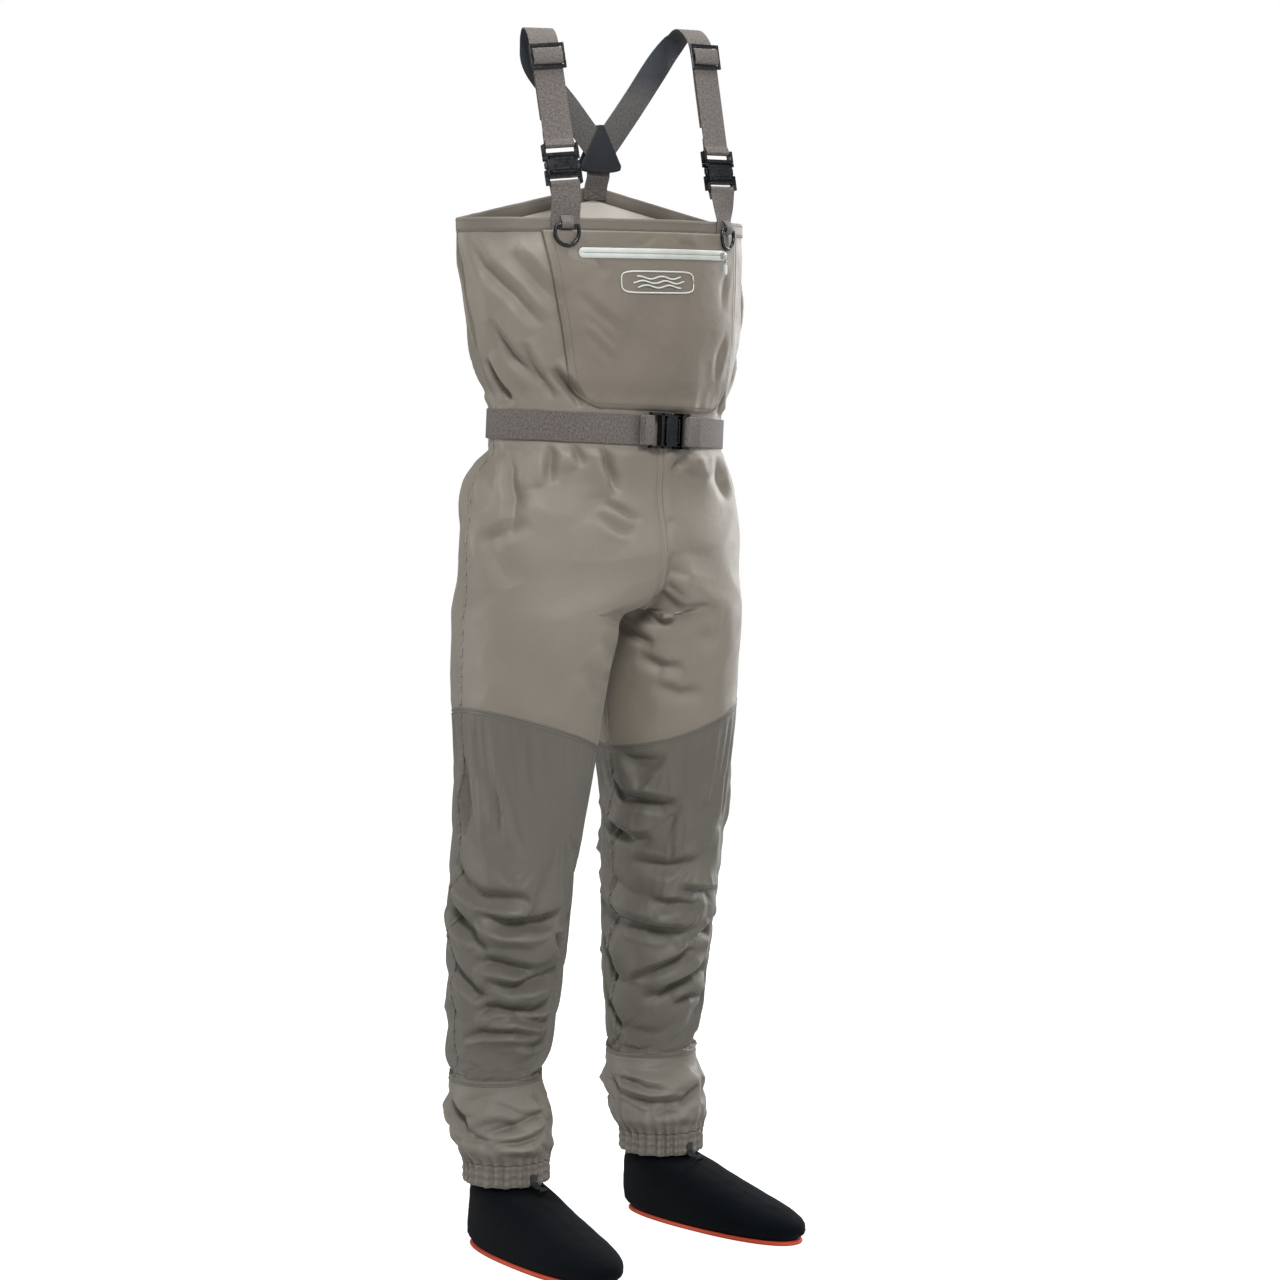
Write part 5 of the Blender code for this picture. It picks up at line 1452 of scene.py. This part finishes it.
def make_slider(name, place):
    """A tri-glide: three bars between two rails, and the strap woven over its middle bar."""
    half = STRAP_WIDTH / 2 + 4 * MM
    body = f"strap_adjuster_{name}"
    front, rear = -4.4 * MM, -1.3 * MM
    boxes = [((-half, half), (front, rear), z) for z in mm([(11.5, 16.5), (-16.5, -11.5), (-2.8, 2.8)])]
    for x in mirrored(STRAP_WIDTH / 2 + 0.6 * MM, half):
        boxes.append((x, (front - 0.6 * MM, rear), (-16.5 * MM, 16.5 * MM)))
    blocks(f"slider_frame_{name}", boxes, place, 1.45 * MM, PLASTIC, f"strap_slider_{name}", body)
    route = mm([(-1.6, 9.9), (-4.4, 9.6), (-5.6, 7.0), (-6.2, 0), (-5.6, -7.0), (-4.4, -9.6), (-1.6, -9.9)])
    flat_loop(f"slider_webbing_{name}", route, STRAP_WIDTH, place, f"slider_loop_{name}", body)


def make_strap(name, side, hem, run, out):
    """From behind the buckle over the shoulder to the patch on the back."""
    behind = out * 3.6 * MM
    start = hem + run * (BUCKLE_UP + 0.058) - behind
    crown = hem + run * (SLIDER_UP[name] + 0.010) - behind
    back_way = Vector((-out.x, -out.y, 0)).normalized()
    knots = [start, start.lerp(crown, 0.5), crown]
    for x, back, rise in ((0, 0.013, 0.0205), (0, 0.032, 0.0285), (-side * 0.004, 0.052, 0.012)):
        knots.append(crown + Vector((x, 0, rise)) + back_way * back)
    shoulder_end = Vector((side * 0.104, 0.012 + BODY_SHIFT_Y, crown.z - 0.018))
    patch_end = Vector((side * 0.008, PATCH_LAYER_Y[name], Y_PATCH_Z + 0.002))
    halfway = shoulder_end.lerp(patch_end, 0.5)
    halfway.y = patch_end.y
    knots += [shoulder_end, halfway, patch_end]
    rear = Vector((0, 1, 0))
    path = smooth_path(knots, 4)
    normals = smooth_path([out, out, out, out + UP, UP, back_way + UP * 0.5, rear, rear, rear], 4)
    piece = webbing(f"shoulder_webbing_{name}", path, normals, STRAP_WIDTH, f"shoulder_strap_{name}")
    piece.data.materials.append(WEB_UNDER)
    for polygon in piece.data.polygons:
        nearest = min(range(len(path)), key=lambda i: (path[i] - polygon.center).length_squared)
        if polygon.normal.dot(normals[nearest].normalized()) < -0.35:
            polygon.material_index = 1


def make_anchor_webbing(name, side, buckle, run, out, bar_z):
    """Sewn to the bib below its hem, up to the buckle, round its bar and back down."""
    path = []
    normals = []
    for z in (1.3268, 1.336, 1.346):
        level = min(z, HEM_Z)
        angle = chest_angle(side * STRAP_X[name], level)
        path.append(Vector(torso(angle, level, 2.6 * MM, z)))
        aside = torso(angle + 0.01, level) - torso(angle - 0.01, level)
        normals.append(Vector((aside[1], -aside[0], 0)).normalized())
    seam_normal = normals[-1]
    below = buckle + run * (bar_z - 0.014)
    path += [path[-1].lerp(below, 0.55) + out * MM, buckle + run * (bar_z - 0.006) + out * 2.0 * MM]
    normals += [(seam_normal + out).normalized(), out]
    for y, z in half_turn(bar_z, LOOP_RADIUS, 180, 0):
        turn = atan2(z - bar_z, y)
        path.append(buckle + run * z - out * y)
        normals.append(out * -cos(turn) + run * sin(turn))
    for down, behind in mm([(6, 2.2), (13, 1.6)]):
        path.append(buckle + run * (bar_z - down) - out * behind)
        normals.append(-out)
    webbing(f"anchor_webbing_{name}", path, normals, STRAP_WIDTH, f"strap_anchor_{name}")
    sewn = place_at(path[1], UP.cross(-seam_normal))
    sewn_box(f"anchor_stitching_{name}", sewn, 0.0, (0.016, 0.006), -0.8 * MM)


def make_back():
    """The patch that joins both straps, the strap below it and the hang loop."""
    arc = [(0.035 * cos(a), -0.024 + 0.007 * sin(a)) for a in steps(pi + 0.35, 2 * pi - 0.35, 16)]
    outline = [(0.004, 0.031), (-0.004, 0.031), (-0.034, -0.021), *arc, (0.034, -0.021)]
    place = Matrix.Translation((0, BODY_SHIFT_Y, Y_PATCH_Z))
    rim = [(x * 0.88, z * 0.88 - 0.0004) for x, z in outline]
    for which, low, high, y, out in (("inner", 4.4, 6.2, 4.2, -1), ("outer", 12.6, 14.4, 14.6, 1)):
        plate(f"back_patch_{which}", outline, low * MM, high * MM, place, 0.6 * MM, NAVY, f"y_patch_{which}")
        line = [(place @ Vector((x, y * MM, z)), (0, out, 0)) for x, z in rim + rim[:1]]
        thread = {"pitch": 2.8 * MM, "length": 2.0 * MM, "radius": 0.35 * MM}
        stitches(f"back_patch_stitching_{which}", [line], THREAD_DARK, **thread)
    peak = HEM_Z + HEM_PEAK_RISE
    route = [(11.3 * MM, Y_PATCH_Z - 0.006), (11.3 * MM, Y_PATCH_Z - 0.033)]
    route += [(y, peak + z) for y, z in mm([(13.0, 7), (16.4, -3), (16.8, -18)])]
    centre = Matrix.Translation((0, BODY_SHIFT_Y, 0))
    flat_loop("back_webbing", route, STRAP_WIDTH, centre, "back_strap")
    sewn_box("back_webbing_stitching", centre, peak - 0.010, (0.016, 0.006), 15.7 * MM)
    hang = mm([(15.0, 2), (14.6, -20), (14.6, -40), (13.8, -55), (12.0, -56), (11.2, -54), (11.6, -40),
               (12.4, -10), (12.8, 1)])
    tag = Matrix.Translation((-0.036, BODY_SHIFT_Y, peak))
    flat_loop("hang_tape", hang, 0.009, tag, "hang_loop", mat=NAVY, thickness=1.0 * MM)


RING_WIRE = 2.4 * MM
RING_BAR_Z = 1.333
RING_OFFSET = 8.6 * MM
RING_HALF = 0.016


def make_ring(name, side):
    x = side * STRAP_X[name]
    origin = chest(x, RING_BAR_Z, RING_OFFSET)
    aside = chest(x + MM, HEM_Z, 0) - chest(x - MM, HEM_Z, 0)
    place = place_at(origin, (*aside[:2], 0))
    curve = bpy.data.curves.new(f"ring_{name}", "CURVE")
    curve.dimensions = "3D"
    curve.bevel_depth = RING_WIRE
    curve.bevel_resolution = 4
    arc = [(RING_HALF * cos(a), 0, -0.008 + 0.017 * sin(a)) for a in steps(0, -pi, 30)]
    points = [(-RING_HALF + 0.002, 0, 0), (RING_HALF - 0.002, 0, 0), (RING_HALF - 0.0006, 0, -0.0022)]
    points += [*arc, (-RING_HALF + 0.0006, 0, -0.0022)]
    spline = curve.splines.new("POLY")
    spline.points.add(len(points) - 1)
    for point, target in zip(spline.points, points):
        point.co = (*(place @ Vector(target)), 1)
    spline.use_cyclic_u = True
    add_piece(f"ring_wire_{name}", curve, PLASTIC, f"d_ring_{name}", f"d_ring_{name}")
    turn = RING_WIRE + GAP + WEB / 2
    route = [(5.1 * MM, 0.012), (turn + 0.9 * MM, 0.006), *half_turn(0, turn, 0, -180, 8)]
    route += [(-turn + 0.4 * MM, 0.004), (1.2 * MM, 0.0095), (3.4 * MM, 0.012)]
    flat_loop(f"ring_webbing_{name}", route, 0.016, place, f"ring_tab_{name}")


# ---------------------------------------------------------------- belt
def make_belt():
    half_width, front = read(TORSO_TABLE, WAIST_Z)[:2]
    first = -acos((BELT_BUCKLE_X + BELT_GAP_HALF) / half_width)
    last = -acos((BELT_BUCKLE_X - BELT_GAP_HALF) / half_width) + 2 * pi
    angles = np.linspace(first, last, 150)
    path = torso(angles, WAIST_Z, BELT_OFFSET)
    normals = [Vector(v) for v in path - torso(angles, WAIST_Z)]
    wobble = np.array([noise.noise((a * 3.1, 0.4, 2.0)) for a in angles])
    path[:, 2] += 1.3 * MM * wobble * np.minimum((angles - first) * (last - angles), 1)
    strap = ribbon_mesh("belt_strap", path, normals, BELT_WIDTH, WEB, 2)
    add_piece("belt_strap", strap, WEB_GREY, "belt_webbing")

    y = -front - BELT_OFFSET - WEB / 2 - GAP - BUCKLE_DEPTH - 0.4 * MM + BODY_SHIFT_Y
    centre = (BELT_BUCKLE_X, y, WAIST_Z - WAIST_ROLL * BELT_BUCKLE_X)
    place = place_at(centre, UP, (-1, 0, WAIST_ROLL))
    low_bar = make_female("belt_female", BELT_WIDTH, 31 * MM, 13 * MM, place, "belt_buckle_female")
    bar_z = make_male("belt_plug", BELT_WIDTH, 20 * MM, place, "belt_male", "belt_buckle_male")
    for which, direction in (("upper", 1), ("lower", -1)):
        make_prong(f"belt_arm_{which}", BELT_WIDTH, direction, place, f"belt_prong_{which}")
    route = fold_route([(-1.0, 20), (-1.8, 8)], bar_z, 360, [(1.8, 8), (1.2, 19)])
    flat_loop("belt_fold_plug", route, BELT_WIDTH, place, "belt_male_loop", "belt_male")
    sewn_box("belt_stitching_plug", place, bar_z + 0.016, (0.015, 0.003), -2.6 * MM, "belt_male")
    route = fold_route([(0.6, -24), (-1.6, -8)], low_bar, 0, [(2.6, -6), (3.0, -18)])
    flat_loop("belt_fold_sleeve", route, BELT_WIDTH, place, "belt_female_loop")


def make_belt_loop(name, side):
    angle = acos(side * BELT_LOOP_X / read(TORSO_TABLE, WAIST_Z)[0])
    facing = Vector(torso(angle, WAIST_Z, 1.0) - torso(angle, WAIST_Z)).normalized()
    high = BELT_WIDTH / 2
    over_belt = BELT_OFFSET + WEB / 2 + GAP + 0.6 * MM
    route = [(high + 0.016, 5.5 * MM), (high + 0.007, 4.0 * MM), (high - 0.002, over_belt), (0.0, over_belt)]
    route += [(-high + 0.002, over_belt), (-high - 0.006, 7.0 * MM), (-high - 0.012, 22.0 * MM)]
    path = [torso(angle, WAIST_Z, offset, WAIST_Z + z) for z, offset in route]
    facings = [facing] * len(path)
    webbing(f"belt_keeper_{name}", path, facings, 0.016, f"belt_loop_{name}", mat=SHELL, thickness=1.2 * MM)


# ---------------------------------------------------------------- build
for build in (make_bib, make_hem, make_pocket, make_patch, make_zip, make_belt, make_back):
    build()
for side_name, side in SIDES.items():
    trouser = make_trousers(side_name, side)
    if side > 0:
        make_centre_seam(trouser[0])
    make_leg_seams(side_name, side, trouser, make_shin(side_name, side))
    for build in (make_guard, make_cuff, make_foot, make_shoulder, make_ring, make_belt_loop):
        build(side_name, side)
    for node, mat in ((f"ankle_tube_{side_name}", KNEE), (f"lace_hook_{side_name}", PLASTIC)):
        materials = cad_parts[node].data.materials
        materials.clear()
        materials.append(mat)

# ---------------------------------------------------------------- floor and light
bpy.ops.mesh.primitive_plane_add(size=9, location=(0, 0, 0))
floor = bpy.context.object
floor.name = "floor"
floor_nodes = Nodes("floor")
seen = floor_nodes.add("ShaderNodeLightPath").outputs["Is Camera Ray"]
floor_nodes.set(Base_Color=rgb(190, 190, 190), Roughness=0.9, Emission_Color=(1, 1, 1, 1))
floor_nodes.set(Emission_Strength=floor_nodes.times(seen, 0.80))
floor.data.materials.append(floor_nodes.material)

WORLD_LIGHT = 0.28
LIGHTS_FACE = Vector((0, 0, 0.85))
LIGHTS = {
    "key_light": ((-2.4, -3.4, 3.7), (1.2, 1.2), 165),
    "front_light": ((1.4, -4.2, 2.0), (1.4, 1.4), 30),
    "rim_left": ((-2.6, 2.2, 1.5), (0.5, 2.4), 48),
    "rim_right": ((3.0, 0.4, 1.5), (0.5, 2.4), 62),
    "top_light": ((0.3, -0.4, 4.4), (1.4, 1.4), 110),
}
for name, (location, size, power) in LIGHTS.items():
    data = bpy.data.lights.new(name, "AREA")
    data.shape = "RECTANGLE"
    data.size, data.size_y = size
    data.energy = power
    light = bpy.data.objects.new(name, data)
    light.location = location
    light.rotation_euler = (Vector(location) - LIGHTS_FACE).to_track_quat("Z", "Y").to_euler()
    scene.collection.objects.link(light)

# The sky looks white, and lights the cloth less than it shows.
world = bpy.data.worlds.new("studio")
world.use_nodes = True
tree = world.node_tree
rays = tree.nodes.new("ShaderNodeLightPath")
strength = tree.nodes.new("ShaderNodeMapRange")
strength.inputs["To Min"].default_value = WORLD_LIGHT
tree.links.new(rays.outputs["Is Camera Ray"], strength.inputs["Value"])
tree.links.new(strength.outputs[0], tree.nodes["Background"].inputs[1])
tree.nodes["Background"].inputs[0].default_value = (1, 1, 1, 1)
scene.world = world
scene.view_settings.view_transform = "Standard"
